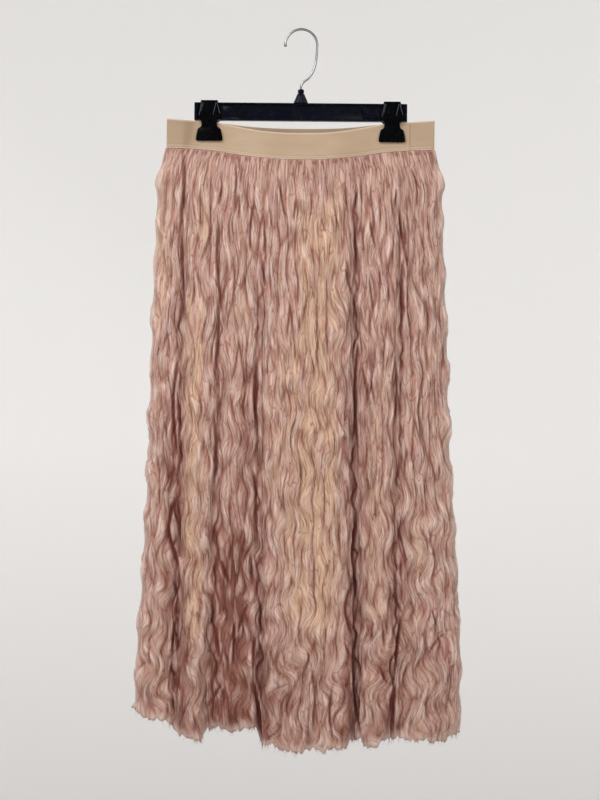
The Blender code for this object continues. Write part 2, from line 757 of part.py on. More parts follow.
def build_clip(name, centre_mm, material):
    """One saddle clip: jaws in front and behind, joined over the top of the bar."""
    outer = [(-(inner + CLIP_ARM_MM), height, width) for _, height, width, inner in CLIP_LEG_MM]
    inner = [(-inner, height, width) for _, height, width, inner in CLIP_LEG_MM]
    top_out = outer[-1][0]
    top_in = inner[-1][0]
    outer.append((top_out + 1.2, SADDLE_TOP_MM, SADDLE_HALF_WIDTH_MM))
    inner.append((top_in + 0.2, SADDLE_UNDERSIDE_MM, SADDLE_HALF_WIDTH_MM))
    outer += [(-y, z, width) for y, z, width in reversed(outer)]
    inner += [(-y, z, width) for y, z, width in reversed(inner)]
    points = []
    for (out_y, out_z, width), (in_y, in_z, _) in zip(outer, inner):
        points.append((centre_mm - width, out_y, out_z))
        points.append((centre_mm + width, out_y, out_z))
        points.append((centre_mm + width, in_y, in_z))
        points.append((centre_mm - width, in_y, in_z))
    faces = []
    for row in range(len(outer) - 1):
        for corner in range(4):
            beside = (corner + 1) % 4
            faces.append((
                row * 4 + corner,
                row * 4 + beside,
                (row + 1) * 4 + beside,
                (row + 1) * 4 + corner,
            ))
    last = (len(outer) - 1) * 4
    faces.append((0, 1, 2, 3))
    faces.append((last, last + 1, last + 2, last + 3))
    return make_object(name, points, faces, material, smooth=False)


def main():
    clear_scene()
    chiffon = make_material("pink chiffon", CHIFFON_PINK, 0.75)
    lining = make_material("tan lining", LINING_TAN, 0.8)
    elastic = make_material("beige elastic", ELASTIC_BEIGE, 0.7)
    plastic = make_material("navy plastic", HANGER_NAVY, 0.25)
    steel = make_material("bright steel", WIRE_STEEL, 0.2, 1.0)
    build_hook(steel)
    build_neck(plastic)
    build_bar(plastic)
    build_clip("clip_left", -CLIP_CENTRE_MM, plastic)
    build_clip("clip_right", CLIP_CENTRE_MM, plastic)
    build_waistband(elastic)
    for side in ("front", "back"):
        build_panel(side, chiffon)
        build_lining(side, lining)


main()
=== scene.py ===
# %% [markdown]
# # A crinkled chiffon skirt on a clip hanger
#
# The real thing is a long skirt of sheer, dusty pink cloth that was heat-set into fine wavy pleats, gathered
# onto a flat beige elastic and lined with plain tan cloth. It hangs from two sprung clips on a black plastic
# hanger with a wire hook. The frame that is loaded here gives every piece its place and its size; this lesson
# dresses it, one piece and one finish at a time.

# %% Load the frame
from math import atan2, cos, pi, radians, sin

import bmesh
import bpy
import numpy as np
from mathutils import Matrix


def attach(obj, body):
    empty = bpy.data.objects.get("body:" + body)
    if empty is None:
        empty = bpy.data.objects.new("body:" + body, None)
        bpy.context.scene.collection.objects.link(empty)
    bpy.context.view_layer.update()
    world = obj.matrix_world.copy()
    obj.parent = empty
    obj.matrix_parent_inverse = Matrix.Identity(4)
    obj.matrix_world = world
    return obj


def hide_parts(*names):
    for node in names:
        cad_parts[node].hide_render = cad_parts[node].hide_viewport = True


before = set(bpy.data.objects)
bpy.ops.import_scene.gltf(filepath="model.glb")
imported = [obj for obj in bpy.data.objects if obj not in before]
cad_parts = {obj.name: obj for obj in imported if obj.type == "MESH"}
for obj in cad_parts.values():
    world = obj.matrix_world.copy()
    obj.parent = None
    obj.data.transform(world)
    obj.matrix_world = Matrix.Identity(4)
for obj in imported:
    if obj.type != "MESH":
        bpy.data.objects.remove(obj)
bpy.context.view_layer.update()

MM = 0.001
scene = bpy.context.scene
print("frame loaded with", len(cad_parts), "nodes")

# %% [markdown]
# ## The camera
#
# The picture was taken straight on, with the garment leaning half a degree to the right. A camera two metres
# away, level with the middle of the skirt and rolled by that half degree, sees it the same way. The lens
# follows from the height of the field that the picture shows at the garment.

# %% Camera
CAMERA_ACROSS = 0.0025
CAMERA_HEIGHT = -0.532
CAMERA_DISTANCE = 2.0
FIELD_HEIGHT = 1.152
SENSOR_MM = 36.0
CAMERA_ROLL = -0.5

lens = bpy.data.cameras.new("camera")
lens.sensor_fit = "VERTICAL"
lens.sensor_height = SENSOR_MM
lens.lens = SENSOR_MM * CAMERA_DISTANCE / FIELD_HEIGHT
camera = bpy.data.objects.new("camera", lens)
camera.location = (CAMERA_ACROSS, -CAMERA_DISTANCE, CAMERA_HEIGHT)
camera.rotation_euler = (radians(90.0), radians(CAMERA_ROLL), 0.0)
scene.collection.objects.link(camera)
scene.camera = camera
print("camera lens", round(lens.lens, 1), "mm")

# %% [markdown]
# ## Small helpers
#
# Operators act on whatever is selected, so each piece starts from an empty selection, and faces are picked
# in code by their place or by the way they face. A finished piece keeps its place in its mesh, with its
# object at the origin.

# %% Helpers for modelling
def clear_selection():
    if bpy.context.mode != "OBJECT":
        bpy.ops.object.mode_set(mode="OBJECT")
    bpy.ops.object.select_all(action="DESELECT")


def only(piece):
    """Makes one object the selected and active one."""
    clear_selection()
    piece.select_set(True)
    bpy.context.view_layer.objects.active = piece
    return piece


def cube_between(name, low, high):
    """A cube added at its place and size, given by two corners in millimetres."""
    clear_selection()
    middle = [(a + b) / 2.0 * MM for a, b in zip(low, high)]
    bpy.ops.mesh.primitive_cube_add(size=1.0, location=middle)
    piece = bpy.context.object
    piece.name = name
    piece.scale = [(b - a) * MM for a, b in zip(low, high)]
    bpy.ops.object.transform_apply(location=True, rotation=True, scale=True)
    return piece


def edit(piece):
    only(piece)
    bpy.ops.object.mode_set(mode="EDIT")


def done():
    bpy.ops.object.mode_set(mode="OBJECT")


def pick_faces(piece, test):
    """In edit mode, selects the faces whose middle (in millimetres) and normal pass a test."""
    bpy.ops.mesh.select_mode(type="FACE")
    bpy.ops.mesh.select_all(action="DESELECT")
    work = bmesh.from_edit_mesh(piece.data)
    picked = 0
    for face in work.faces:
        if test(face.calc_center_median() / MM, face.normal):
            face.select_set(True)
            picked += 1
    bmesh.update_edit_mesh(piece.data)
    return picked


def extrude(across=0.0, deep=0.0, up=0.0):
    """Extrudes the selected faces and moves them, in millimetres."""
    bpy.ops.mesh.extrude_region_move(
        TRANSFORM_OT_translate={"value": (across * MM, deep * MM, up * MM)}
    )


def soften(piece, width, segments=2, angle=30.0):
    """Rounds the edges of a piece with a bevel and shades it smooth."""
    only(piece)
    bevel = piece.modifiers.new("rounded edges", "BEVEL")
    bevel.width = width * MM
    bevel.segments = segments
    bevel.limit_method = "ANGLE"
    bevel.angle_limit = radians(angle)
    bevel.harden_normals = False
    bpy.ops.object.modifier_apply(modifier=bevel.name)
    bpy.ops.object.shade_smooth_by_angle(angle=radians(angle))
    return piece


def join(pieces, name):
    """Joins several meshes into one named piece."""
    clear_selection()
    for piece in pieces:
        piece.select_set(True)
    bpy.context.view_layer.objects.active = pieces[0]
    bpy.ops.object.join()
    pieces[0].name = name
    pieces[0].data.name = name
    return pieces[0]


# %% [markdown]
# ## The stage and the light
#
# The garment hangs in front of a plain pale room. A round bowl, a flat floor that curves up into a wall all
# the way round, gives the same quiet background from every side. A circle is extruded and widened step by
# step into the bowl. The wall glows a little, less towards the floor, in place of the light that a real
# room throws back.

# %% Stage
FLOOR_HEIGHT = -3.0
BOWL_RADIUS = 3.4
BOWL_BEND = 0.9
FLOOR_RADIUS = BOWL_RADIUS - BOWL_BEND
BOWL_TOP = 5.6
BEND_STEPS = 8
BOWL_SIDES = 64
GLOW_HEIGHTS = (-2.2, -0.7)
GLOW_STRENGTHS = (0.02, 0.20)


def build_stage():
    clear_selection()
    bpy.ops.mesh.primitive_circle_add(
        vertices=BOWL_SIDES, radius=FLOOR_RADIUS, fill_type="TRIFAN", location=(0.0, 0.0, FLOOR_HEIGHT)
    )
    floor = bpy.context.object
    floor.name = "stage_floor"
    bpy.ops.object.transform_apply(location=True)
    bpy.ops.object.mode_set(mode="EDIT")
    bpy.ops.mesh.select_all(action="SELECT")
    bpy.ops.mesh.region_to_loop()
    radius, height = FLOOR_RADIUS, 0.0
    for step in range(1, BEND_STEPS + 1):
        turn = pi / 2.0 * step / BEND_STEPS
        wider = FLOOR_RADIUS + BOWL_BEND * sin(turn)
        higher = BOWL_BEND * (1.0 - cos(turn))
        bpy.ops.mesh.extrude_edges_move()
        bpy.ops.transform.resize(value=(wider / radius, wider / radius, 1.0))
        bpy.ops.transform.translate(value=(0.0, 0.0, higher - height))
        radius, height = wider, higher
    bpy.ops.mesh.extrude_edges_move()
    bpy.ops.transform.translate(value=(0.0, 0.0, BOWL_TOP - BOWL_BEND))
    bpy.ops.mesh.select_all(action="SELECT")
    bpy.ops.mesh.normals_make_consistent(inside=True)
    done()
    bpy.ops.object.shade_smooth()
    return floor


def stage_material():
    material = bpy.data.materials.new("pale room")
    material.use_nodes = True
    shader = material.node_tree.nodes["Principled BSDF"]
    shader.inputs["Base Color"].default_value = (0.84, 0.83, 0.82, 1.0)
    shader.inputs["Emission Color"].default_value = (1.0, 0.98, 0.96, 1.0)
    shader.inputs["Roughness"].default_value = 0.9
    nodes = material.node_tree.nodes
    links = material.node_tree.links
    place = nodes.new("ShaderNodeNewGeometry")
    parts = nodes.new("ShaderNodeSeparateXYZ")
    glow = nodes.new("ShaderNodeMapRange")
    glow.inputs["From Min"].default_value, glow.inputs["From Max"].default_value = GLOW_HEIGHTS
    glow.inputs["To Min"].default_value, glow.inputs["To Max"].default_value = GLOW_STRENGTHS
    links.new(place.outputs["Position"], parts.inputs["Vector"])
    links.new(parts.outputs["Z"], glow.inputs["Value"])
    links.new(glow.outputs["Result"], shader.inputs["Emission Strength"])
    return material


stage = build_stage()
stage.data.materials.append(stage_material())
print("stage", stage.name)

# %% [markdown]
# The light of the picture is broad and even, a little from above and from the left, so that each pleat keeps
# a soft shaded side. A large lamp on the left, a weaker one on the right and a pale sky do that. Two more
# lamps light the back.

# %% Light
# name, place in metres, size, power in watts
LAMPS = (
    ("key", (-0.95, -1.45, 1.05), 1.0, 26.0),
    ("fill", (1.7, -1.9, 0.6), 1.6, 6.0),
    ("back", (0.9, 2.0, 1.0), 1.4, 24.0),
    ("back_left", (-1.6, 1.9, 0.3), 1.6, 8.0),
)
LAMP_TARGET = (0.0, 0.0, -0.5)
SKY_COLOUR = (0.95, 0.97, 1.0, 1.0)
SKY_STRENGTH = 0.31


def add_lamp(name, place, size, power):
    lamp = bpy.data.lights.new(name, "AREA")
    lamp.shape = "SQUARE"
    lamp.size = size
    lamp.energy = power
    holder = bpy.data.objects.new(name, lamp)
    holder.location = place
    holder.visible_camera = False
    aim = [target - here for target, here in zip(LAMP_TARGET, place)]
    level = (aim[0] ** 2 + aim[1] ** 2) ** 0.5
    holder.rotation_euler = (atan2(level, -aim[2]), 0.0, atan2(aim[1], aim[0]) - pi / 2.0)
    scene.collection.objects.link(holder)


for row in LAMPS:
    add_lamp(*row)
sky = bpy.data.worlds.new("sky")
sky.use_nodes = True
sky.node_tree.nodes["Background"].inputs["Color"].default_value = SKY_COLOUR
sky.node_tree.nodes["Background"].inputs["Strength"].default_value = SKY_STRENGTH
scene.world = sky
scene.view_settings.view_transform = "Standard"
print("lamps", len(LAMPS))

# %% [markdown]
# ## Shared patterns for the finishes
#
# Four patterns serve the finishes: a woven thread pattern that follows the cloth, long soft streaks along
# the pleats, the small facets of pressed crinkle, and the fine mottling of a moulded or plated surface. Each
# is a node group with named inputs, built once and placed in each material with values of its own.

# %% Node helpers
def new_group(name, numbers, results):
    """An empty node group with a place and named numbers going in, and named numbers coming out."""
    group = bpy.data.node_groups.new(name, "ShaderNodeTree")
    group.interface.new_socket(name="Place", in_out="INPUT", socket_type="NodeSocketVector")
    for label, value in numbers.items():
        made = group.interface.new_socket(name=label, in_out="INPUT", socket_type="NodeSocketFloat")
        made.default_value = value
    for label in results:
        group.interface.new_socket(name=label, in_out="OUTPUT", socket_type="NodeSocketFloat")
    given = group.nodes.new("NodeGroupInput").outputs
    result = group.nodes.new("NodeGroupOutput").inputs
    return group, given, result


def add_node(tree, kind, values=None, **settings):
    """Adds a node, sets its own properties and then the values of its inputs."""
    made = tree.nodes.new(kind)
    for key, value in settings.items():
        setattr(made, key, value)
    for key, value in (values or {}).items():
        made.inputs[key].default_value = value
    return made


def wire(tree, start, end):
    tree.links.new(start, end)


def maths(tree, operation, first, second=None):
    """A Math node fed by numbers or by other nodes' outputs."""
    made = tree.nodes.new("ShaderNodeMath")
    made.operation = operation
    for slot, value in enumerate((first, second)):
        if value is None:
            continue
        if isinstance(value, (int, float)):
            made.inputs[slot].default_value = value
        else:
            tree.links.new(value, made.inputs[slot])
    return made.outputs[0]


def times(tree, first, second):
    return maths(tree, "MULTIPLY", first, second)


def plus(tree, first, second):
    return maths(tree, "ADD", first, second)


def spread(tree, value, start, end, top=1.0):
    """A Map Range node: what goes from start to end goes from 0 to top."""
    made = add_node(tree, "ShaderNodeMapRange", {"From Min": start, "From Max": end, "To Max": top})
    wire(tree, value, made.inputs["Value"])
    return made.outputs["Result"]


def read_map(tree):
    """The cloth's own map."""
    return add_node(tree, "ShaderNodeUVMap", uv_map="cloth").outputs["UV"]


def read_mark(tree, name):
    """One of the marks that a mesh carries at each of its points."""
    return add_node(tree, "ShaderNodeAttribute", attribute_name=name).outputs["Fac"]


def mix_colour(tree, share, first, second, blend="MIX"):
    """A Mix node for colours; each colour is a value or another node's output."""
    made = tree.nodes.new("ShaderNodeMix")
    made.data_type = "RGBA"
    made.blend_type = blend
    for socket, value in ((made.inputs[0], share), (made.inputs[6], first), (made.inputs[7], second)):
        if isinstance(value, (int, float, tuple)):
            socket.default_value = value
        else:
            tree.links.new(value, socket)
    return made.outputs[2]


# %% Weave
def weave_group():
    """Plain weave: threads over and under, by the cloth's own map, whose unit is a metre."""
    group, given, result = new_group("plain weave", {"Threads": 1500.0}, ["Height"])
    split = add_node(group, "ShaderNodeSeparateXYZ")
    wire(group, given["Place"], split.inputs[0])
    across, along = (
        maths(group, "SINE", times(group, split.outputs[axis], given["Threads"])) for axis in (0, 1)
    )
    both = times(group, across, along)
    wire(group, plus(group, times(group, both, 0.5), 0.5), result["Height"])
    return group


# %% Streaks
def stretch(group, given, across, along):
    """Stretches the two places on the cloth by the group's own numbers."""
    stretched = add_node(group, "ShaderNodeCombineXYZ")
    wire(group, times(group, across, given["Across"]), stretched.inputs[0])
    wire(group, times(group, along, given["Along"]), stretched.inputs[1])
    return stretched.outputs[0]


def streak_group():
    """Long soft streaks that run down the cloth, from 0 to 1."""
    group, given, result = new_group("soft streaks", {"Across": 260.0, "Along": 24.0}, ["Mask"])
    split = add_node(group, "ShaderNodeSeparateXYZ")
    wire(group, given["Place"], split.inputs[0])
    noise = add_node(group, "ShaderNodeTexNoise", {"Scale": 1.0, "Detail": 3.0, "Roughness": 0.55})
    wire(group, stretch(group, given, split.outputs[0], split.outputs[1]), noise.inputs["Vector"])
    wire(group, spread(group, noise.outputs["Fac"], 0.3, 0.7), result["Mask"])
    return group


# %% Pressed pleats
FACET_ROUNDING = 0.30
FACET_CREASE = 0.12
FACET_SWAY = 0.012


def pleats_group():
    """Small pressed facets, long and narrow: their height, their tone and the painted shade of the crease
    round them.
    """
    group, given, result = new_group(
        "pressed pleats", {"Across": 300.0, "Along": 30.0}, ["Height", "Tone", "Crease Shade"]
    )
    split = add_node(group, "ShaderNodeSeparateXYZ")
    wire(group, given["Place"], split.inputs[0])
    sway = add_node(group, "ShaderNodeTexNoise", {"Scale": 38.0, "Detail": 1.0})
    wire(group, given["Place"], sway.inputs["Vector"])
    swayed = plus(group, split.outputs[0], times(group, sway.outputs["Fac"], FACET_SWAY))
    stretched = stretch(group, given, swayed, split.outputs[1])
    border, facets = [
        add_node(group, "ShaderNodeTexVoronoi", {"Scale": 1.0}, voronoi_dimensions="2D", feature=feature)
        for feature in ("DISTANCE_TO_EDGE", "F1")
    ]
    for node in (border, facets):
        wire(group, stretched, node.inputs["Vector"])
    crease = spread(group, border.outputs["Distance"], FACET_CREASE, 0.0)
    shade = add_node(group, "ShaderNodeSeparateColor")
    wire(group, facets.outputs["Color"], shade.inputs[0])
    wire(group, spread(group, border.outputs["Distance"], 0.0, FACET_ROUNDING), result["Height"])
    wire(group, shade.outputs[0], result["Tone"])
    wire(group, times(group, crease, shade.outputs[1]), result["Crease Shade"])
    return group


# %% Mottling
def mottle_group():
    """Fine mottling of a hard surface: a slow and a fine noise, from 0 to 1."""
    masks = ["Slow Mask", "Fine Mask"]
    group, given, result = new_group("fine mottling", {"Slow": 60.0, "Fine": 900.0}, masks)
    for label in ("Slow", "Fine"):
        noise = add_node(group, "ShaderNodeTexNoise", {"Detail": 4.0, "Roughness": 0.6})
        wire(group, given["Place"], noise.inputs["Vector"])
        wire(group, given[label], noise.inputs["Scale"])
        wire(group, noise.outputs["Fac"], result[label + " Mask"])
    return group


WEAVE = weave_group()
STREAKS = streak_group()
PLEATS = pleats_group()
MOTTLE = mottle_group()
print("pattern groups", WEAVE.name, STREAKS.name, PLEATS.name, MOTTLE.name)

# %% Place a pattern in a material
def place_group(tree, group, place, **values):
    made = tree.nodes.new("ShaderNodeGroup")
    made.node_tree = group
    wire(tree, place, made.inputs["Place"])
    for label, value in values.items():
        made.inputs[label].default_value = value
    return made


def new_material(name, values):
    """A material with the plain values of its shader's inputs."""
    material = bpy.data.materials.new(name)
    material.use_nodes = True
    tree = material.node_tree
    shader = tree.nodes["Principled BSDF"]
    for label, value in values.items():
        shader.inputs[label].default_value = value
    return material, tree, shader


def add_bump(tree, shader, height, strength, distance):
    """Bump of a given depth in millimetres from a pattern."""
    bump = add_node(tree, "ShaderNodeBump", {"Strength": strength, "Distance": distance * MM})
    wire(tree, height, bump.inputs["Height"])
    wire(tree, bump.outputs["Normal"], shader.inputs["Normal"])


# %% [markdown]
# ## The finish of the chiffon
#
# Heat-set chiffon is matt and a little powdery. Its ridges get a pale, pinkish painted highlight and its
# troughs a red-brown painted shade, and where the tan lining lies close behind, the cloth turns golden. The
# mesh carries seven marks for that at each point, from 0 to 1: how hollow the place is, how much painted
# shade lies at the bottom of a crease or a valley, how far back in painted shade the place lies, how much of
# the lining shows, how much painted light comes through, whether a thin crease of painted shade runs there,
# and the tone of its own facet. The pressed facets and the fine streaks are too small for the mesh and come
# from the shared patterns, which also paint shade into the creases round the facets.

# %% Chiffon material
CHIFFON_PINK = (0.655, 0.405, 0.352, 1.0)
CHIFFON_TAN = (0.670, 0.452, 0.345, 1.0)
CHIFFON_PAINTED_HIGHLIGHT = (0.840, 0.620, 0.540, 1.0)
CHIFFON_PAINTED_TROUGH_SHADE = (0.400, 0.142, 0.095, 1.0)
CHIFFON_PAINTED_FOLD_SHADE = (0.105, 0.008, 0.004, 1.0)
CHIFFON_PAINTED_CREASE_SHADE = (0.205, 0.040, 0.022, 1.0)
CHIFFON_SHADE = (0.470, 0.300, 0.268, 1.0)
CHIFFON_OVER_LINING = (0.850, 0.600, 0.415, 1.0)
CHIFFON_PAINTED_SHEER_LIGHT = (0.740, 0.575, 0.490, 1.0)
# for the painted highlight on the ridges and the painted shade in the troughs: how hollow a place is where it
# starts and where it is full, and its share there
RIDGE_PAINTED_HIGHLIGHT = (0.42, 0.12, 0.78)
TROUGH_PAINTED_SHADE = (0.55, 1.0, 0.50)
THREADS_CHIFFON = 9000.0


def chiffon_material():
    material, tree, shader = new_material(
        "crinkled chiffon", {"Sheen Weight": 0.15, "Sheen Roughness": 0.45, "Specular IOR Level": 0.25}
    )
    names = ("hollow", "fold", "dim", "lining", "sheer", "line", "tone")
    marks = {name: read_mark(tree, name) for name in names}
    cloth_map = read_map(tree)
    creases = place_group(tree, PLEATS, cloth_map, Across=290.0, Along=36.0)
    strands = place_group(tree, STREAKS, cloth_map, Across=560.0, Along=62.0).outputs["Mask"]
    patches = place_group(tree, STREAKS, cloth_map, Across=38.0, Along=15.0).outputs["Mask"]
    threads = place_group(tree, WEAVE, cloth_map, Threads=THREADS_CHIFFON).outputs["Height"]
    tone = plus(tree, times(tree, marks["tone"], 0.6), times(tree, patches, 0.4))
    body = mix_colour(tree, tone, CHIFFON_PINK, CHIFFON_TAN)
    # Painted highlight on the ridges and painted shade in the troughs, by how hollow each place is.
    ridge = spread(tree, marks["hollow"], *RIDGE_PAINTED_HIGHLIGHT)
    trough_shade = spread(tree, marks["hollow"], *TROUGH_PAINTED_SHADE)
    colour = mix_colour(tree, ridge, body, CHIFFON_PAINTED_HIGHLIGHT)
    colour = mix_colour(tree, trough_shade, colour, CHIFFON_PAINTED_TROUGH_SHADE)
    tan_share = times(tree, marks["lining"], plus(tree, times(tree, strands, 0.35), 0.65))
    shaded_lining = mix_colour(tree, 0.55, CHIFFON_OVER_LINING, colour, "MULTIPLY")
    over_lining = mix_colour(tree, 0.62, shaded_lining, CHIFFON_OVER_LINING)
    colour = mix_colour(tree, tan_share, colour, over_lining)
    # Painted shade in the creases round the facets and along the thin crease lines of the mesh.
    colour = mix_colour(tree, times(tree, creases.outputs["Crease Shade"], 0.72), colour, CHIFFON_PAINTED_CREASE_SHADE)
    colour = mix_colour(tree, times(tree, marks["line"], 0.96), colour, CHIFFON_PAINTED_CREASE_SHADE)
    # Painted shade where the cloth lies back and deep in the folds.
    colour = mix_colour(tree, marks["dim"], colour, CHIFFON_SHADE, "MULTIPLY")
    # Painted shade at the bottoms of the creases and valleys.
    colour = mix_colour(tree, marks["fold"], colour, CHIFFON_PAINTED_FOLD_SHADE)
    # Painted light coming through the sheer cloth at the sides and at the hem.
    colour = mix_colour(tree, marks["sheer"], colour, CHIFFON_PAINTED_SHEER_LIGHT)
    light = plus(tree, 0.84, times(tree, strands, 0.16))
    light = times(tree, light, plus(tree, 0.93, times(tree, creases.outputs["Tone"], 0.22)))
    grey = add_node(tree, "ShaderNodeCombineColor")
    for slot in range(3):
        wire(tree, light, grey.inputs[slot])
    colour = mix_colour(tree, 1.0, colour, grey.outputs["Color"], "MULTIPLY")
    wire(tree, colour, shader.inputs["Base Color"])
    wire(tree, plus(tree, 0.62, times(tree, marks["hollow"], 0.22)), shader.inputs["Roughness"])
    height = plus(tree, times(tree, strands, 0.35), times(tree, threads, 0.08))
    height = plus(tree, height, times(tree, creases.outputs["Height"], 0.75))
    add_bump(tree, shader, height, 0.95, 1.0)
    return material


CHIFFON = chiffon_material()
print("finish", CHIFFON.name)

# %% [markdown]
# ## The finishes of the lining and the elastic
#
# The lining is a plain tan weave with a slight slack mottling. The elastic is smooth: fine cords run round
# the waist inside it, so its face has faint level ribs and a satin sheen. It gets a slightly greyer painted
# shade where it turns away and in its grooves, and a pale painted highlight on its raised lips. Both read the
# map of the cloth, whose unit is a metre.

# %% Lining and elastic materials
LINING_TAN = (0.580, 0.400, 0.260, 1.0)
LINING_SHADE = (0.470, 0.310, 0.195, 1.0)
ELASTIC_BEIGE = (0.498, 0.362, 0.241, 1.0)
ELASTIC_SHADE = (0.335, 0.222, 0.142, 1.0)
ELASTIC_PAINTED_HIGHLIGHT = (0.690, 0.545, 0.420, 1.0)
THREAD_BEIGE = (0.600, 0.460, 0.320, 1.0)


def lining_material():
    material, tree, shader = new_material("tan lining", {"Roughness": 0.78, "Sheen Weight": 0.1})
    cloth_map = read_map(tree)
    patches = place_group(tree, STREAKS, cloth_map, Across=30.0, Along=9.0).outputs["Mask"]
    threads = place_group(tree, WEAVE, cloth_map, Threads=7000.0).outputs["Height"]
    tone = mix_colour(tree, patches, LINING_SHADE, LINING_TAN)
    wire(tree, mix_colour(tree, times(tree, threads, 0.15), tone, LINING_SHADE), shader.inputs["Base Color"])
    add_bump(tree, shader, threads, 0.35, 0.2)
    return material


def elastic_material():
    material, tree, shader = new_material(
        "beige elastic", {"Roughness": 0.58, "Sheen Weight": 0.12, "Specular IOR Level": 0.35}
    )
    cloth_map = read_map(tree)
    edge, shade = read_mark(tree, "edge"), read_mark(tree, "shade")
    patches = place_group(tree, STREAKS, cloth_map, Across=14.0, Along=40.0).outputs["Mask"]
    ribs = place_group(tree, STREAKS, cloth_map, Across=60.0, Along=1500.0).outputs["Mask"]
    threads = place_group(tree, WEAVE, cloth_map, Threads=6200.0).outputs["Height"]
    tone = mix_colour(tree, times(tree, patches, 0.28), ELASTIC_BEIGE, ELASTIC_SHADE)
    tone = mix_colour(tree, times(tree, ribs, 0.10), tone, ELASTIC_SHADE)
    # Painted shade at the ends, in the grooves and beside the join; painted highlight on the raised lips.
    tone = mix_colour(tree, shade, tone, ELASTIC_SHADE)
    wire(tree, mix_colour(tree, edge, tone, ELASTIC_PAINTED_HIGHLIGHT), shader.inputs["Base Color"])
    height = plus(tree, times(tree, ribs, 0.6), times(tree, threads, 0.4))
    add_bump(tree, shader, height, 0.35, 0.25)
    return material


def thread_material():
    """Sewing thread: a twisted strand, so its tone goes in fine steps."""
    material, tree, shader = new_material("sewing thread", {"Roughness": 0.6})
    place = add_node(tree, "ShaderNodeTexCoord").outputs["Object"]
    fine = place_group(tree, MOTTLE, place, Slow=400.0, Fine=2600.0).outputs["Fine Mask"]
    wire(tree, mix_colour(tree, fine, ELASTIC_SHADE, THREAD_BEIGE), shader.inputs["Base Color"])
    return material


LINING = lining_material()
ELASTIC = elastic_material()
THREAD = thread_material()
print("finishes", LINING.name, ELASTIC.name, THREAD.name)

# %% [markdown]
# ## Curves, tables and grids
#
# The cloth is worked out from a few short tables of sizes in millimetres. A smooth curve through a table's
# rows gives the value at any height or place across. Grids of points are then closed into thin shells.

# %% Curves and grids
def limited(value):
    """The value, kept between 0 and 1."""
    return np.clip(value, 0.0, 1.0)


def smoothstep(value):
    share = limited(value)
    return share * share * (3.0 - 2.0 * share)


def between(share):
    """Weights of two neighbours and of the slope at each, for a smooth curve between them."""
    squared = share * share
    cubed = squared * share
    near, far = 2.0 * cubed - 3.0 * squared + 1.0, 3.0 * squared - 2.0 * cubed
    return near, cubed - 2.0 * squared + share, far, cubed - squared


def bell(away):
    """A soft bump, 1 in its middle, that fades on both sides."""
    return np.exp(-away * away)


def curve_through(places, values, at):
    """A smooth curve through a table's rows, read at any place."""
    places = np.asarray(places, dtype=float)
    values = np.asarray(values, dtype=float)
    slopes = np.gradient(values, places)
    at = np.clip(at, places[0], places[-1])
    row = np.clip(np.searchsorted(places, at, side="right") - 1, 0, len(places) - 2)
    span = places[row + 1] - places[row]
    near, near_slope, far, far_slope = between((at - places[row]) / span)
    start = near * values[row] + near_slope * span * slopes[row]
    return start + far * values[row + 1] + far_slope * span * slopes[row + 1]


def down_table(rows, column, height):
    """Reads a table whose first column is a height that falls from row to row."""
    return curve_through([-row[0] for row in rows], [row[column] for row in rows], -np.asarray(height))


def finer(grid, count):
    """The same grid with more rows, along smooth curves through its points."""
    at = np.linspace(0.0, len(grid) - 1.0, count)
    row = np.minimum(at.astype(int), len(grid) - 2)
    slopes = np.gradient(grid, axis=0)
    near, near_slope, far, far_slope = between((at - row)[:, None])
    return near * grid[row] + near_slope * slopes[row] + far * grid[row + 1] + far_slope * slopes[row + 1]


def blurred(grid, rows, columns, turns=2):
    """Each value as the mean of its neighbours, for finding what is hollow and what stands out."""
    for _ in range(turns):
        for axis, reach in ((0, rows), (1, columns)):
            padded = np.pad(grid, [(reach, reach) if axis == a else (0, 0) for a in (0, 1)], mode="edge")
            total = np.cumsum(padded, axis=axis)
            total = np.insert(total, 0, 0.0, axis=axis)
            width = 2 * reach + 1
            upper = np.take(total, range(width, total.shape[axis]), axis=axis)
            lower = np.take(total, range(0, total.shape[axis] - width), axis=axis)
            grid = (upper - lower) / width
    return grid


# %% Shells
def grid_faces(numbers):
    """Quads of a grid of point numbers."""
    corners = (numbers[:-1, :-1], numbers[:-1, 1:], numbers[1:, 1:], numbers[1:, :-1])
    return np.stack(corners, axis=-1).reshape(-1, 4).tolist()


def stitch(first, second, points):
    """Triangles between two chains of point numbers that run side by side."""
    places = []
    for chain in (first, second):
        steps = np.linalg.norm(np.diff(points[chain], axis=0), axis=1)
        places.append(np.concatenate(([0.0], np.cumsum(steps))) / steps.sum())
    faces = []
    near = 0
    far = 0
    while near < len(first) - 1 or far < len(second) - 1:
        near_done = near == len(first) - 1
        far_done = far == len(second) - 1
        if far_done or (not near_done and places[0][near + 1] <= places[1][far + 1]):
            faces.append((int(first[near]), int(first[near + 1]), int(second[far])))
            near += 1
        else:
            faces.append((int(first[near]), int(second[far + 1]), int(second[far])))
            far += 1
    return faces


def close_shell(outer, inner_parts):
    """A closed wall between an outer grid and an inner one, given in parts from the top to the foot."""
    numbers = []
    start = 0
    for part in [outer, *inner_parts]:
        count = part.shape[0] * part.shape[1]
        numbers.append(start + np.arange(count).reshape(part.shape[:2]))
        start += count
    points = np.concatenate([part.reshape(-1, 3) for part in [outer, *inner_parts]])
    outside, inside = numbers[0], numbers[1:]
    faces = grid_faces(outside)
    for part in inside:
        faces += [face[::-1] for face in grid_faces(part)]
    for above, below in zip(inside, inside[1:]):
        faces += stitch(below[0], above[-1], points)
    faces += stitch(inside[0][0], outside[0], points)
    faces += stitch(outside[-1], inside[-1][-1], points)
    left = np.concatenate([part[:, 0] for part in inside])
    right = np.concatenate([part[:, -1] for part in inside])
    faces += stitch(outside[:, 0], left, points)
    faces += stitch(right, outside[:, -1], points)
    return points, faces


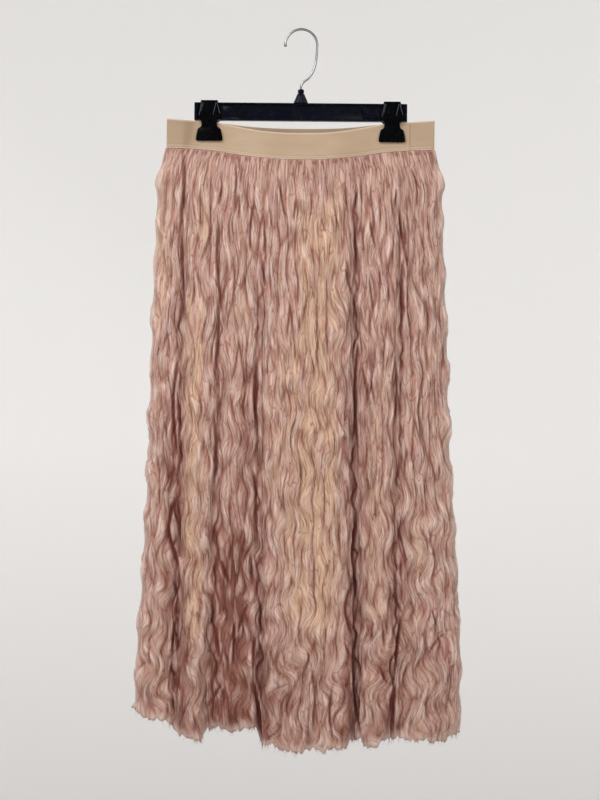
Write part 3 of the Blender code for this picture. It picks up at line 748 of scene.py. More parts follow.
def cloth_piece(name, points, faces, cloth_map, marks, material):
    """A mesh from points in millimetres, with its map in metres and its marks at each point."""
    mesh = bpy.data.meshes.new(name)
    mesh.from_pydata((points * MM).tolist(), [], faces)
    if sum(face.normal.y * face.center.y for face in mesh.polygons) < 0.0:
        mesh.flip_normals()
    corners = np.zeros(len(mesh.loops), dtype=np.int32)
    mesh.loops.foreach_get("vertex_index", corners)
    layer = mesh.uv_layers.new(name="cloth")
    layer.data.foreach_set("uv", (cloth_map[corners] * MM).astype(np.float32).ravel())
    for label, values in marks.items():
        mark = mesh.attributes.new(label, "FLOAT", "POINT")
        mark.data.foreach_set("value", values.astype(np.float32))
    mesh.materials.append(material)
    mesh.shade_smooth()
    piece = bpy.data.objects.new(name, mesh)
    scene.collection.objects.link(piece)
    print(name, "has", len(mesh.polygons), "faces")
    return piece


# %% [markdown]
# ## The form of the band and the skirt
#
# These tables say how the garment hangs: the clips pinch the elastic flat and it sags between them, the skirt
# widens and rounds away below it, and each side has its own deep folds, fuller columns and stepped hem. The
# section at any height is half a rounded box whose depth is lowered in the folds.

# %% Tables of the garment
SEAM_GAP = 0.3
MID_GAP = 0.15
BAND_HALF_WIDTH = 192.0
BAND_THICKNESS = 1.6
BAND_PINCH = 1.15
BAND_SAG_REACH = 108.0
BAND_SAG_FADE = 62.0
BAND_FOOT_SPREAD = 2.5
BAND_FOOT_FROM = 0.66
BACK_BAND_DROP = 43.0
# distance from the middle, front top, front foot, back top
BAND_EDGES = (
    (0, -149.3, -189.5, -140.5), (25, -148.9, -189, -140.3), (45, -147.6, -187.6, -139.8),
    (63, -145.3, -185.5, -139), (80, -142.2, -182.8, -138), (99, -138, -179.2, -136.2),
    (113, -135.2, -176.6, -134.8), (131, -132.6, -174.5, -132.6), (155, -131, -172.8, -131),
    (192, -128.3, -171.3, -128.3),
)
# how far each layer of the band bows out between the clips, at its top and at its foot
BAND_BOW = {"front": (7.5, 16.0), "back": (6.0, 13.0)}

PANEL_PROUD = 1.3
FLARE = 85.0
SEAM_SIDE = -171.0
SKIRT_DROP = 850.0
TOP_SQUARENESS = 40.0
LOW_SQUARENESS = 3.4
INSIDE_GROOVE = 1.6
FOLD_START = 90.0
FOLD_FORMING = 220.0
FOLD_HEM = -1010.0
# height, reach of the plain wall to the left and to the right
SILHOUETTE = (
    (-171, 194.2, 194.2), (-184, 197.5, 197), (-203, 201, 200.5), (-230, 203.5, 203), (-290, 205.5, 205.5),
    (-342, 207.2, 207.2), (-394, 209, 210), (-463, 211.5, 213), (-532, 213, 215), (-601, 214.5, 218),
    (-687, 217, 223.5), (-791, 222, 230), (-895, 228, 235), (-971, 231, 235), (-1040, 230.5, 232.5),
)
# height, half depth of the front, half depth of the back
DEPTH = (
    (-171, 16, 14), (-240, 25, 22), (-330, 29, 25), (-560, 34, 29), (-800, 39, 33), (-1040, 44, 37),
)
# name, place at the waist and at the hem as a share of the half width,
# height where it is fully formed, depth above that height, depth at the hem, half width of the groove
FOLDS = {
    "front": (
        ("outer left", -0.795, -0.738, -260, 5, 13, 8), ("left", -0.520, -0.545, -420, 3, 15, 8.5),
        ("left of middle", -0.265, -0.219, -460, 2.5, 16, 8),
        ("right of middle", 0.378, 0.359, -330, 7, 17, 8), ("right", 0.715, 0.590, -330, 6, 10, 8.5),
    ),
    "back": (
        ("outer right", 0.770, 0.725, -300, 4, 12, 8.5), ("right", 0.470, 0.500, -360, 4, 13, 8.5),
        ("middle", 0.105, 0.080, -280, 6, 14, 8), ("left", -0.330, -0.365, -400, 3.5, 13, 8.5),
        ("outer left", -0.690, -0.660, -330, 5, 12, 8.5),
    ),
}
# name, place of the middle at the waist and at the hem, half width, height where it starts, how far out
SWELLS = {
    "front": (
        ("middle column", 0.060, 0.070, 62, -330, 6), ("hollow column", -0.400, -0.385, 24, -520, -7),
        ("right column", 0.540, 0.480, 26, -420, 3),
    ),
    "back": (
        ("left column", -0.510, -0.500, 34, -420, 4), ("right column", 0.290, 0.280, 36, -420, 4),
    ),
}
# place across, height: the lower edge of each panel, in steps from fold to fold
HEM = {
    "front": (
        (-240, -973), (-226, -977), (-206, -985), (-180, -991), (-163, -1008), (-134, -1011), (-126, -998),
        (-90, -1000), (-56, -997), (-46, -1022), (10, -1026), (70, -1021), (77, -1009), (92, -1010),
        (97, -1021), (115, -1021), (122, -1010), (160, -1010), (168, -1015), (205, -1015), (222, -1008),
        (240, -1003),
    ),
    "back": (
        (-240, -973), (-205, -990), (-150, -1001), (-80, -1008), (-20, -1002), (40, -1011), (110, -1004),
        (170, -1009), (215, -1005), (240, -1003),
    ),
}
SIGN = {"front": -1.0, "back": 1.0}
SEED = {"front": 11, "back": 47}
print("folds", {side: len(rows) for side, rows in FOLDS.items()})


# %% Form of the band
def band_edge(across, column):
    return curve_through([row[0] for row in BAND_EDGES], [row[column] for row in BAND_EDGES], np.abs(across))


def band_heights(across, side):
    """Top and foot of the elastic at a place across, on the front or the back."""
    if side == "front":
        return band_edge(across, 1), band_edge(across, 2)
    top = band_edge(across, 3)
    return top, top - BACK_BAND_DROP


def band_depth(across, share, side):
    """Distance of the elastic's middle from the mid plane, from its top (0) to its foot (1)."""
    lens_share = smoothstep((BAND_SAG_REACH - np.abs(across)) / BAND_SAG_FADE)
    bow_top, bow_foot = BAND_BOW[side]
    foot = BAND_FOOT_SPREAD * smoothstep((share - BAND_FOOT_FROM) / (1.0 - BAND_FOOT_FROM))
    return BAND_PINCH + foot + lens_share * (bow_top + (bow_foot - bow_top) * share)


# %% Form of the skirt
SECTION_SAMPLES = 261


def fold_depth(share_across, reach, height, side, widen):
    """Depth of the folds alone at a place across and a height."""
    down = limited((SEAM_SIDE - height) / SKIRT_DROP)
    depth = np.zeros(np.broadcast(share_across, height).shape)
    for _name, waist_at, hem_at, formed, top_depth, hem_depth, groove in FOLDS[side]:
        early = smoothstep((formed + FOLD_FORMING - height) / FOLD_FORMING)
        late = limited((formed - height) / (formed - FOLD_HEM))
        away = (share_across - waist_at - (hem_at - waist_at) * down) * reach / (groove * widen)
        depth += early * (top_depth + (hem_depth - top_depth) * late) * bell(away)
    return depth


def swell_depth(share_across, reach, height, side):
    """How far the fuller and the hollow columns stand out."""
    down = limited((SEAM_SIDE - height) / SKIRT_DROP)
    out = np.zeros(np.broadcast(share_across, height).shape)
    for _name, waist_at, hem_at, spread, start, far in SWELLS[side]:
        away = (share_across - waist_at - (hem_at - waist_at) * down) * reach / spread
        out += far * smoothstep((start - height) / FOLD_FORMING) * np.exp(-(away ** 4))
    return out


def half_section(height, below, side, inset=0.0):
    """Half sections of the skirt, one for each height, as dense points from left to right."""
    height = height[:, None]
    below = below[:, None]
    share = np.sin(np.linspace(-pi / 2.0, pi / 2.0, SECTION_SAMPLES))[None, :]
    left, right = (down_table(SILHOUETTE, column, height) for column in (1, 2))
    reach = np.where(share < 0.0, left, right) - inset
    across = share * reach
    flare = 1.0 - (1.0 - limited(below / FLARE)) ** 2
    squareness = TOP_SQUARENESS ** (1.0 - flare) * LOW_SQUARENESS ** flare
    at_band = band_depth(across, 1.0, side) + PANEL_PROUD
    full = down_table(DEPTH, 1 if side == "front" else 2, height)
    depth = at_band + (full - at_band) * flare
    widen = INSIDE_GROOVE if inset > 0.0 else 1.0
    lowered = fold_depth(share, reach, height, side, widen) - swell_depth(share, reach, height, side)
    depth = depth - lowered * smoothstep(below / FOLD_START)
    if inset > 0.0:
        slope = np.gradient(depth, axis=1) / np.maximum(np.gradient(across, axis=1), 0.05)
        depth = depth - inset * np.hypot(1.0, slope)
    round_end = np.sqrt(limited(1.0 - np.abs(share) ** squareness))
    return across, np.maximum(depth, 0.0) * round_end


# %% [markdown]
# ## Walking round the section
#
# Points are spread evenly along the cloth, not across the picture, so that the pleats keep their width where
# the skirt turns round its sides and dips into a fold. The height of a point depends on where it ends up, so
# the walk is repeated a few times until it settles. The direction outwards is averaged over a stretch of
# cloth, so that pleats don't run into each other at the bottom of a fold.

# %% Form of a panel
FORM_COLUMNS = 150
FORM_ROWS = 88
ROW_SPREAD = 1.12
SETTLING_TURNS = 3
OUTWARD_REACH = 13.0


def panel_row(share_down, side):
    """One row of a panel: places, depths, heights, drops below the seam and directions outwards."""
    steps = np.linspace(0.0, 1.0, FORM_COLUMNS + 1)
    hem_places = [row[0] for row in HEM[side]]
    hem_heights = [row[1] for row in HEM[side]]
    across = (2.0 * steps - 1.0) * BAND_HALF_WIDTH
    for _ in range(SETTLING_TURNS):
        at_band = np.clip(across, -BAND_HALF_WIDTH, BAND_HALF_WIDTH)
        seam = band_heights(at_band, side)[1] - SEAM_GAP
        below = (seam - np.interp(across, hem_places, hem_heights)) * share_down
        height = seam - below
        xs, ys = half_section(height, below, side)
        run = np.cumsum(np.hypot(np.diff(xs, axis=1), np.diff(ys, axis=1)), axis=1)
        run = np.insert(run, 0, 0.0, axis=1)
        at = steps * run[:, -1]
        ends = np.clip(np.stack((at - OUTWARD_REACH, at + OUTWARD_REACH)), 0.0, run[:, -1])
        across = np.array([np.interp(*row) for row in zip(at, run, xs)])
    depth = np.array([np.interp(*row) for row in zip(at, run, ys)])
    along_x = np.array([np.diff(np.interp(pair, r, x))[0] for pair, r, x in zip(ends.T, run, xs)])
    along_y = np.array([np.diff(np.interp(pair, r, y))[0] for pair, r, y in zip(ends.T, run, ys)])
    length = np.hypot(along_x, along_y)
    return across, depth, height, below, -along_y / length, along_x / length


def panel_form(side):
    """The plain form of one panel as six grids: place, depth, height, drop and direction outwards."""
    shares = np.linspace(0.0, 1.0, FORM_ROWS + 1) ** ROW_SPREAD
    rows = [panel_row(share, side) for share in shares]
    return [np.array(column) for column in zip(*rows)]


# %% [markdown]
# ## The crinkle
#
# Heat-set crinkle is not a row of equal waves. The pleats wander sideways, fork and close again into long
# leaf shapes, lean over to one side, and some are sharp while others are round. Adding up a few dozen waves
# of nearly one width gives exactly that: the angle of the sum runs up one turn for each pleat, and where the
# sum fades, two pleats become one. The angle is turned into a leaning roof with a rounded or a sharp top.

# %% Waves
def slow_waves(across, down, width, length, seed, count=9):
    """A smooth random field from about -1 to 1, with lumps of a given width and length."""
    draw = np.random.default_rng(seed)
    total = np.zeros(across.shape)
    for _ in range(count):
        turn = 2.0 * pi * draw.random()
        size = 0.55 + 0.9 * draw.random()
        phase = (across * cos(turn) / width + down * sin(turn) / length) * size
        total += np.sin(2.0 * pi * phase + 2.0 * pi * draw.random())
    return total * (1.35 / count ** 0.5)


def pleat_waves(across, down, pitch, spread, length, seed, count=42):
    """Many waves of nearly one pitch, added up as turning arrows."""
    draw = np.random.default_rng(seed)
    total = np.zeros(across.shape, dtype=complex)
    for _ in range(count):
        wave = (1.0 + spread * draw.normal()) / pitch
        lean = draw.normal() / length
        total += np.exp(2j * pi * (wave * across + lean * down + draw.random()))
    return total / count ** 0.5


def roofs(waves, lean, fullness):
    """Pleats from 0 to 1: a roof on each turn, its ridge moved to one side, its slopes hollow or full."""
    angle = np.angle(waves) / pi
    roof = np.where(angle < lean, (angle + 1.0) / (1.0 + lean), (1.0 - angle) / (1.0 - lean))
    shaped = 1.0 - (1.0 - roof) ** fullness
    strength = limited(np.abs(waves) / 0.55)
    return 0.6 + (shaped - 0.6) * strength


# %% [markdown]
# The crinkle also breaks the cloth into long flat facets, pointed at both ends like leaves, which tilt this
# way and that and meet in thin creases. Each facet belongs to the nearest of a set of scattered centres,
# measured on cloth that is squeezed lengthwise, so that every facet comes out long and narrow.

# %% Leaves
def leaves(across, down, width, length, seed):
    """Facets round scattered centres: distance from the crease, tilted offset and tone of each point."""
    draw = np.random.default_rng(seed)
    column = np.floor(across / width).astype(int)
    table = draw.random((5, 128, 128))
    nearest = np.full(across.shape, 1e6)
    second = np.full(across.shape, 1e6)
    offset = np.zeros(across.shape)
    tone = np.zeros(across.shape)
    for side_step in (-2, -1, 0, 1, 2):
        strip = column + side_step
        shift = 0.5 * (strip % 2)
        level = np.floor(down / length - shift).astype(int)
        for down_step in (-1, 0, 1):
            cell = level + down_step
            shake = table[:, strip % 128, cell % 128]
            from_x = across - (strip + 0.5 + 0.75 * (shake[0] - 0.5)) * width
            from_y = down - (cell + 0.5 + shift + 0.8 * (shake[1] - 0.5)) * length
            far = np.hypot(from_x, from_y * width / length)
            closer = far < nearest
            second = np.where(closer, nearest, np.minimum(second, far))
            nearest = np.where(closer, far, nearest)
            tilt = (shake[2] - 0.5) * 2.0 * from_x / width + (shake[3] - 0.5) * 1.2 * from_y / length
            offset = np.where(closer, tilt, offset)
            tone = np.where(closer, 2.0 * shake[4] - 1.0, tone)
    return (second - nearest) / 2.0, offset, tone


# %% [markdown]
# The main creases are listed one by one, each with its own length, depth and width, as the picture shows them
# on the front; the back has similar ones of its own. Each is a narrow trough that fades out at both ends,
# with a lip of cloth standing up along one side.

# %% Listed creases
# place across and height of the top, the middle and the foot, depth, half width, side of the lip
CREASES = {
    "front": (
        (-113, -234, -114, -243, -115, -255, 4, 2, 1), (-93, -187, -91, -222, -94, -258, 4.2, 2, 1),
        (-65, -252, -69, -276, -70, -324, 5, 2.2, -1), (-50, -290, -49, -306, -50, -326, 5, 2.2, 1),
        (-52, -333, -51, -351, -47, -371, 5.6, 2.4, 1), (-30, -216, -26, -246, -20, -275, 4.6, 2.1, -1),
        (-5, -248, -7, -262, -9, -278, 4, 1.9, 1), (-167, -180, -166, -243, -171, -276, 4.2, 3.2, -1),
        (-169, -276, -167, -335, -163, -408, 4.6, 3, 1), (-116, -290, -117, -335, -113, -382, 4.8, 2.6, -1),
        (-115, -392, -114, -440, -119, -505, 5, 2.8, 1), (-144, -298, -143, -308, -143, -319, 3.2, 1.9, 1),
        (77, -268, 80, -318, 82, -356, 5.8, 2.3, -1), (76, -380, 79, -398, 82, -416, 5.4, 2.2, 1),
        (141, -256, 144, -286, 151, -322, 5, 2.2, -1), (146, -334, 146, -372, 147, -420, 5.4, 2.8, 1),
        (99, -278, 103, -295, 108, -317, 4.2, 1.9, -1), (65, -345, 69, -362, 75, -382, 4.4, 2, 1),
        (81, -230, 80, -243, 79, -258, 4.4, 2, 1), (137, -230, 136, -244, 136, -257, 4, 2, -1),
        (158, -198, 164, -214, 171, -231, 4, 1.9, 1), (99, -358, 102, -380, 105, -405, 4, 1.9, -1),
        (-174, -672, -182, -713, -168, -772, 5.6, 2.9, 1), (-173, -848, -175, -872, -176, -898, 5, 2.8, -1),
        (-57, -650, -59, -700, -55, -740, 5.4, 2.8, 1), (-65, -752, -64, -772, -62, -794, 5, 2.6, -1),
        (-58, -866, -60, -888, -61, -912, 5.4, 2.8, 1), (-60, -930, -54, -966, -47, -1018, 5.8, 3, 1),
        (-107, -760, -102, -776, -96, -792, 5, 2.8, -1), (-115, -852, -112, -876, -108, -898, 5.4, 3.2, 1),
        (-87, -850, -88, -880, -89, -909, 4.8, 2.4, -1), (-73, -828, -78, -846, -83, -864, 4.4, 2.2, 1),
        (-105, -934, -114, -950, -125, -970, 4.6, 2.6, 1), (-209, -884, -208, -898, -207, -911, 4, 2, 1),
        (84, -706, 78, -747, 81, -785, 5.8, 2.8, -1), (74, -796, 69, -824, 79, -866, 5.2, 2.8, 1),
        (80, -880, 82, -940, 94, -1014, 5.8, 3, -1), (136, -804, 142, -818, 149, -831, 4.6, 2.4, 1),
        (148, -834, 144, -868, 140, -912, 5.4, 2.8, -1), (140, -930, 138, -968, 134, -1012, 5, 2.6, 1),
        (218, -856, 206, -866, 186, -890, 4.2, 2.4, 1), (121, -846, 123, -864, 124, -884, 4, 2, 1),
        (118, -906, 122, -918, 129, -932, 4.4, 2.2, -1), (143, -710, 149, -734, 156, -760, 4.4, 2, 1),
        (191, -824, 195, -840, 200, -856, 4, 2, -1), (-58, -470, -62, -530, -56, -590, 5.2, 2.6, -1),
        (-172, -470, -178, -540, -172, -610, 5, 2.8, 1), (84, -450, 80, -520, 84, -600, 5.4, 2.6, -1),
        (136, -470, 140, -520, 134, -575, 4.6, 2.4, 1), (-120, -545, -116, -600, -119, -660, 4.8, 2.6, -1),
        (0, -600, 5, -640, 1, -690, 3.8, 2, 1), (30, -430, 26, -465, 31, -505, 3.6, 1.9, -1),
        (176, -500, 171, -545, 176, -590, 4.4, 2.2, 1), (22, -905, 27, -950, 22, -1012, 4.2, 2.2, -1),
        (52, -930, 48, -970, 53, -1012, 4, 2, 1),
    ),
    "back": (
        (152, -240, 148, -290, 154, -350, 5, 2.4, 1), (88, -230, 92, -275, 87, -330, 5, 2.3, -1),
        (22, -215, 18, -270, 23, -335, 5.4, 2.4, 1), (-64, -260, -68, -310, -62, -372, 4.8, 2.2, -1),
        (-134, -235, -130, -285, -136, -345, 5, 2.4, 1), (-32, -300, -28, -345, -33, -395, 4.4, 2, 1),
        (60, -350, 55, -395, 61, -440, 4.4, 2, -1), (-176, -300, -172, -350, -177, -410, 4.6, 2.2, -1),
        (178, -420, 174, -480, 180, -540, 4.8, 2.4, 1), (98, -470, 103, -540, 97, -620, 5.4, 2.7, -1),
        (20, -430, 16, -510, 21, -600, 5.6, 2.8, 1), (-72, -480, -78, -560, -71, -640, 5.2, 2.6, -1),
        (-146, -450, -141, -530, -147, -610, 5.4, 2.8, 1), (-12, -640, -7, -690, -13, -745, 4.2, 2.1, 1),
        (56, -660, 61, -705, 55, -755, 4.4, 2.1, -1), (160, -680, 165, -740, 159, -805, 5, 2.6, 1),
        (-108, -700, -113, -750, -107, -800, 4.6, 2.2, -1),
        (-184, -730, -189, -780, -183, -835, 4.6, 2.3, 1), (108, -790, 112, -860, 106, -940, 5.6, 2.8, -1),
        (16, -800, 21, -880, 15, -970, 5.6, 2.9, 1), (-82, -830, -87, -900, -80, -975, 5.4, 2.7, -1),
        (-150, -860, -145, -920, -151, -980, 5.2, 2.6, 1), (52, -900, 47, -940, 53, -985, 4.2, 2.1, 1),
        (186, -890, 190, -935, 185, -985, 4.4, 2.2, -1), (-30, -880, -35, -930, -29, -980, 4.2, 2.1, -1),
    ),
}


# The long valleys between the columns of pleats: four places across with their heights, how deep at the
# top and at the foot, and the half width of the line of painted shade at the bottom.
VALLEYS = {
    "front": (
        (-166, -215, -168, -540, -171, -760, -173, -960, 2.4, 4.2, 1.7),
        (-113, -270, -114, -532, -116, -760, -118, -970, 2, 4.4, 1.7),
        (-54, -310, -58, -575, -55, -760, -48, -1000, 3.2, 5.2, 1.8),
        (78, -235, 80, -532, 81, -760, 90, -1000, 3.6, 5.4, 1.9),
        (149, -240, 147, -460, 142, -680, 136, -990, 2.6, 4.8, 1.7),
    ),
    "back": (
        (154, -230, 157, -480, 160, -740, 166, -970, 2.6, 4.4, 1.7),
        (92, -290, 99, -500, 104, -740, 112, -980, 2.8, 4.8, 1.8),
        (20, -250, 19, -500, 18, -740, 18, -980, 3.4, 5.2, 1.8),
        (-66, -320, -71, -520, -77, -740, -82, -970, 2.4, 4.6, 1.7),
        (-138, -280, -142, -500, -146, -740, -150, -960, 2.8, 4.6, 1.7),
    ),
}


def valley_depth(across, height, run, below, side):
    """Depth of the long valleys, and the painted shade of their bottoms."""
    lowered = np.zeros(across.shape)
    dark = np.zeros(across.shape)
    snake = 2.2 * slow_waves(0.0 * run, below, 60.0, 46.0, SEED[side] + 12)
    snake += 1.1 * slow_waves(0.0 * run, below, 60.0, 21.0, SEED[side] + 19)
    for number, row in enumerate(VALLEYS[side]):
        top, foot = row[1], row[7]
        place = curve_through([-row[1], -row[3], -row[5], -row[7]], row[0:8:2], -height)
        place = place + snake * (1.0 if number % 2 else -1.0)
        late = limited((top - height) / (top - foot))
        start = smoothstep((top + 15.0 - height) / 60.0)
        open_share = 0.50 + 0.62 * slow_waves(0.0 * run, below, 50.0, 48.0, SEED[side] + 23 + number)
        open_share = np.clip(open_share, 0.08, 1.0)
        away = (across - place) / row[10]
        deep = row[8] + (row[9] - row[8]) * late
        lowered += start * deep * (0.45 + 0.55 * open_share) * bell(away)
        # Painted shade at the bottom of each valley.
        dark = np.maximum(dark, start * open_share * (0.55 + 0.45 * late) * bell(away * 1.15))
    return lowered, dark


LIP_SHARE = 0.45
# depth of a crease whose bottom gets the full painted shade
DARKEST_DEPTH = 6.0


def crease_depth(across, height, side):
    """How far the listed creases lower (at their lips, raise) the cloth, and how much painted shade they get.
    """
    lowered = np.zeros(across.shape)
    dark = np.zeros(across.shape)
    for top_x, top, mid_x, mid, foot_x, foot, depth, half_width, lip in CREASES[side]:
        along = (top - height) / (top - foot)
        bend = (top - mid) / (top - foot)
        place = curve_through((0.0, bend, 1.0), (top_x, mid_x, foot_x), along)
        fade = np.sin(pi * limited(along)) ** 0.6
        away = (across - place) / (0.82 * half_width)
        lowered += depth * fade * bell(away)
        lowered -= LIP_SHARE * depth * fade * bell((away - 1.9 * lip) / 1.1)
        # Painted shade at the bottom of each crease.
        dark = np.maximum(dark, depth / DARKEST_DEPTH * fade * bell(away * 1.2))
    return lowered, dark


# %% [markdown]
# ## Where the lining shows through
#
# The picture shows long golden columns where the tan lining lies right behind the chiffon. Each is a soft
# patch with a place, a length and a strength. Patches of the same kind mark where the cloth lies back in
# shade. The outermost cloth at the sides has nothing behind it and looks paler, as light comes through.

# %% Patches of lining
# place across at the top and at the foot, top, foot, half width, strength
LINING_PATCHES = {
    "front": (
        (26, 28, -250, -885, 27, 1.00), (12, 8, -430, -850, 25, 0.70), (50, 52, -225, -340, 11, 0.95),
        (-139, -138, -240, -330, 10, 0.70), (-148, -148, -370, -880, 13, 0.80),
        (-20, -18, -420, -700, 18, 0.35), (-12, -10, -175, -215, 40, 0.30),
        (110, 112, -560, -860, 11, 0.40), (-196, -200, -230, -420, 8, 0.50),
        (170, 176, -640, -800, 12, 0.25),
    ),
    "back": (
        (-34, -32, -260, -880, 26, 0.75), (60, 58, -300, -870, 16, 0.65),
        (-112, -110, -380, -860, 13, 0.60), (140, 142, -420, -700, 12, 0.40),
        (172, 170, -230, -380, 9, 0.45),
    ),
}


# Places where the cloth lies back in shade: place across, top, foot, half width, strength.
SHADED_PATCHES = {
    "front": (
        (-88, -700, -1010, 26, 1.00), (-70, -470, -700, 14, 0.55), (-178, -520, -960, 12, 0.65),
        (96, -420, -1000, 11, 0.35), (-30, -880, -1020, 40, 0.45), (150, -700, -990, 14, 0.50),
        (190, -860, -1010, 30, 0.30), (-200, -900, -990, 26, 0.35), (0, -860, -1050, 260, 0.22),
    ),
    "back": (
        (98, -560, -980, 18, 0.80), (18, -600, -980, 12, 0.50), (-146, -560, -960, 14, 0.55),
        (-60, -880, -1010, 30, 0.45), (0, -860, -1050, 260, 0.22),
    ),
}


# How far above its top a patch starts, how slowly it does, and how far past its foot it ends.
SHADE_ENDS = (30.0, 90.0, 40.0)
LINING_ENDS = (20.0, 60.0, 20.0)
FOOT_FADE = 60.0


def patch_share(away, height, top, foot, ends):
    """A flat-topped patch, from its middle (0) outwards and between its two ends."""
    before, fade, past = ends
    lengthwise = smoothstep((top + before - height) / fade) * smoothstep((height - foot + past) / FOOT_FADE)
    return lengthwise * np.exp(-away ** 4)


def dim_patches(across, height, side):
    dim = np.zeros(across.shape)
    for place, top, foot, half_width, strength in SHADED_PATCHES[side]:
        away = (across - place) / half_width
        dim = np.maximum(dim, strength * patch_share(away, height, top, foot, SHADE_ENDS))
    return dim


def lining_shows(across, height, run, below, side):
    shows = np.zeros(across.shape)
    for top_x, foot_x, top, foot, half_width, strength in LINING_PATCHES[side]:
        along = limited((top - height) / (top - foot))
        away = (across - top_x - (foot_x - top_x) * along) / half_width
        shows = np.maximum(shows, strength * patch_share(away, height, top, foot, LINING_ENDS))
    uneven = 0.82 + 0.34 * slow_waves(run, below, 22.0, 90.0, SEED[side] + 20)
    return limited(shows * uneven)


# %% [markdown]
# ## The relief of the crinkle
#
# Near the seam the gathers are narrow, straight and shallow. Over the first hand's breadth they open into
# the wandering pleats, and a finer set of wrinkles lies over everything. The pattern is read along an eased
# fall, slower at the waist than at the hem, because the pleats are long above and short and curly below.
# Along the sides the outermost pleats swell into small lobes, which give the outline its soft waves.

# %% Relief of a panel
PLEATED_WIDTH = 452.0
PLEAT_PITCH = 11.5
PLEAT_SPREAD = 0.24
PLEAT_LENGTH = 105.0
PLEAT_OUT = 1.3
GATHER_PITCH = 6.4
LEAF_WIDTH = 11.5
LEAF_LENGTH = 66.0
LEAF_OUT = 1.75
LEAF_TILT = 3.7
SMALL_LEAF = (4.8, 50.0)
WANDER = (1.7, 2.4)
EASE = (0.66, 0.36)
WANDER_WIDTH = 42.0
WANDER_LENGTH = 80.0
RELIEF_FLOOR = -1.5
RELIEF_TOP = 6.2
LONGEST_FALL = 870.0
ROW_PITCH = 3.85
COLUMN_PITCH = 1.136
LEVEL_FADE = 2.6
SIDE_LOBE = 3.2
SIDE_LOBE_LENGTH = 71.0
HIP_LOBE = 3.6
HIP_AT = 50.0
HIP_SPREAD = 12.0
NARROW_AT = 20.0
PITS_AT = 4.5
LINE_REACH = 0.82
SMALL_LINE_REACH = 0.60
USUAL_REACH = 215.0
USUAL_FOLD = 14.0


def rounded(share):
    """A facet's height from its edge (0) inwards, full from 1 on."""
    return 1.0 - (1.0 - limited(share)) ** 2


def upright_share(distance):
    """How upright the crease next to each point runs, from 0 to 1, so that level joints stay soft."""
    steps = []
    for axis, pitch in ((0, ROW_PITCH), (1, COLUMN_PITCH)):
        step = np.abs(np.diff(distance, axis=axis)) / pitch
        before = np.concatenate((step.take([0], axis), step), axis)
        after = np.concatenate((step, step.take([-1], axis)), axis)
        steps.append(np.maximum(before, after))
    down, across = steps
    return across / (np.hypot(across, LEVEL_FADE * down) + 1e-6)


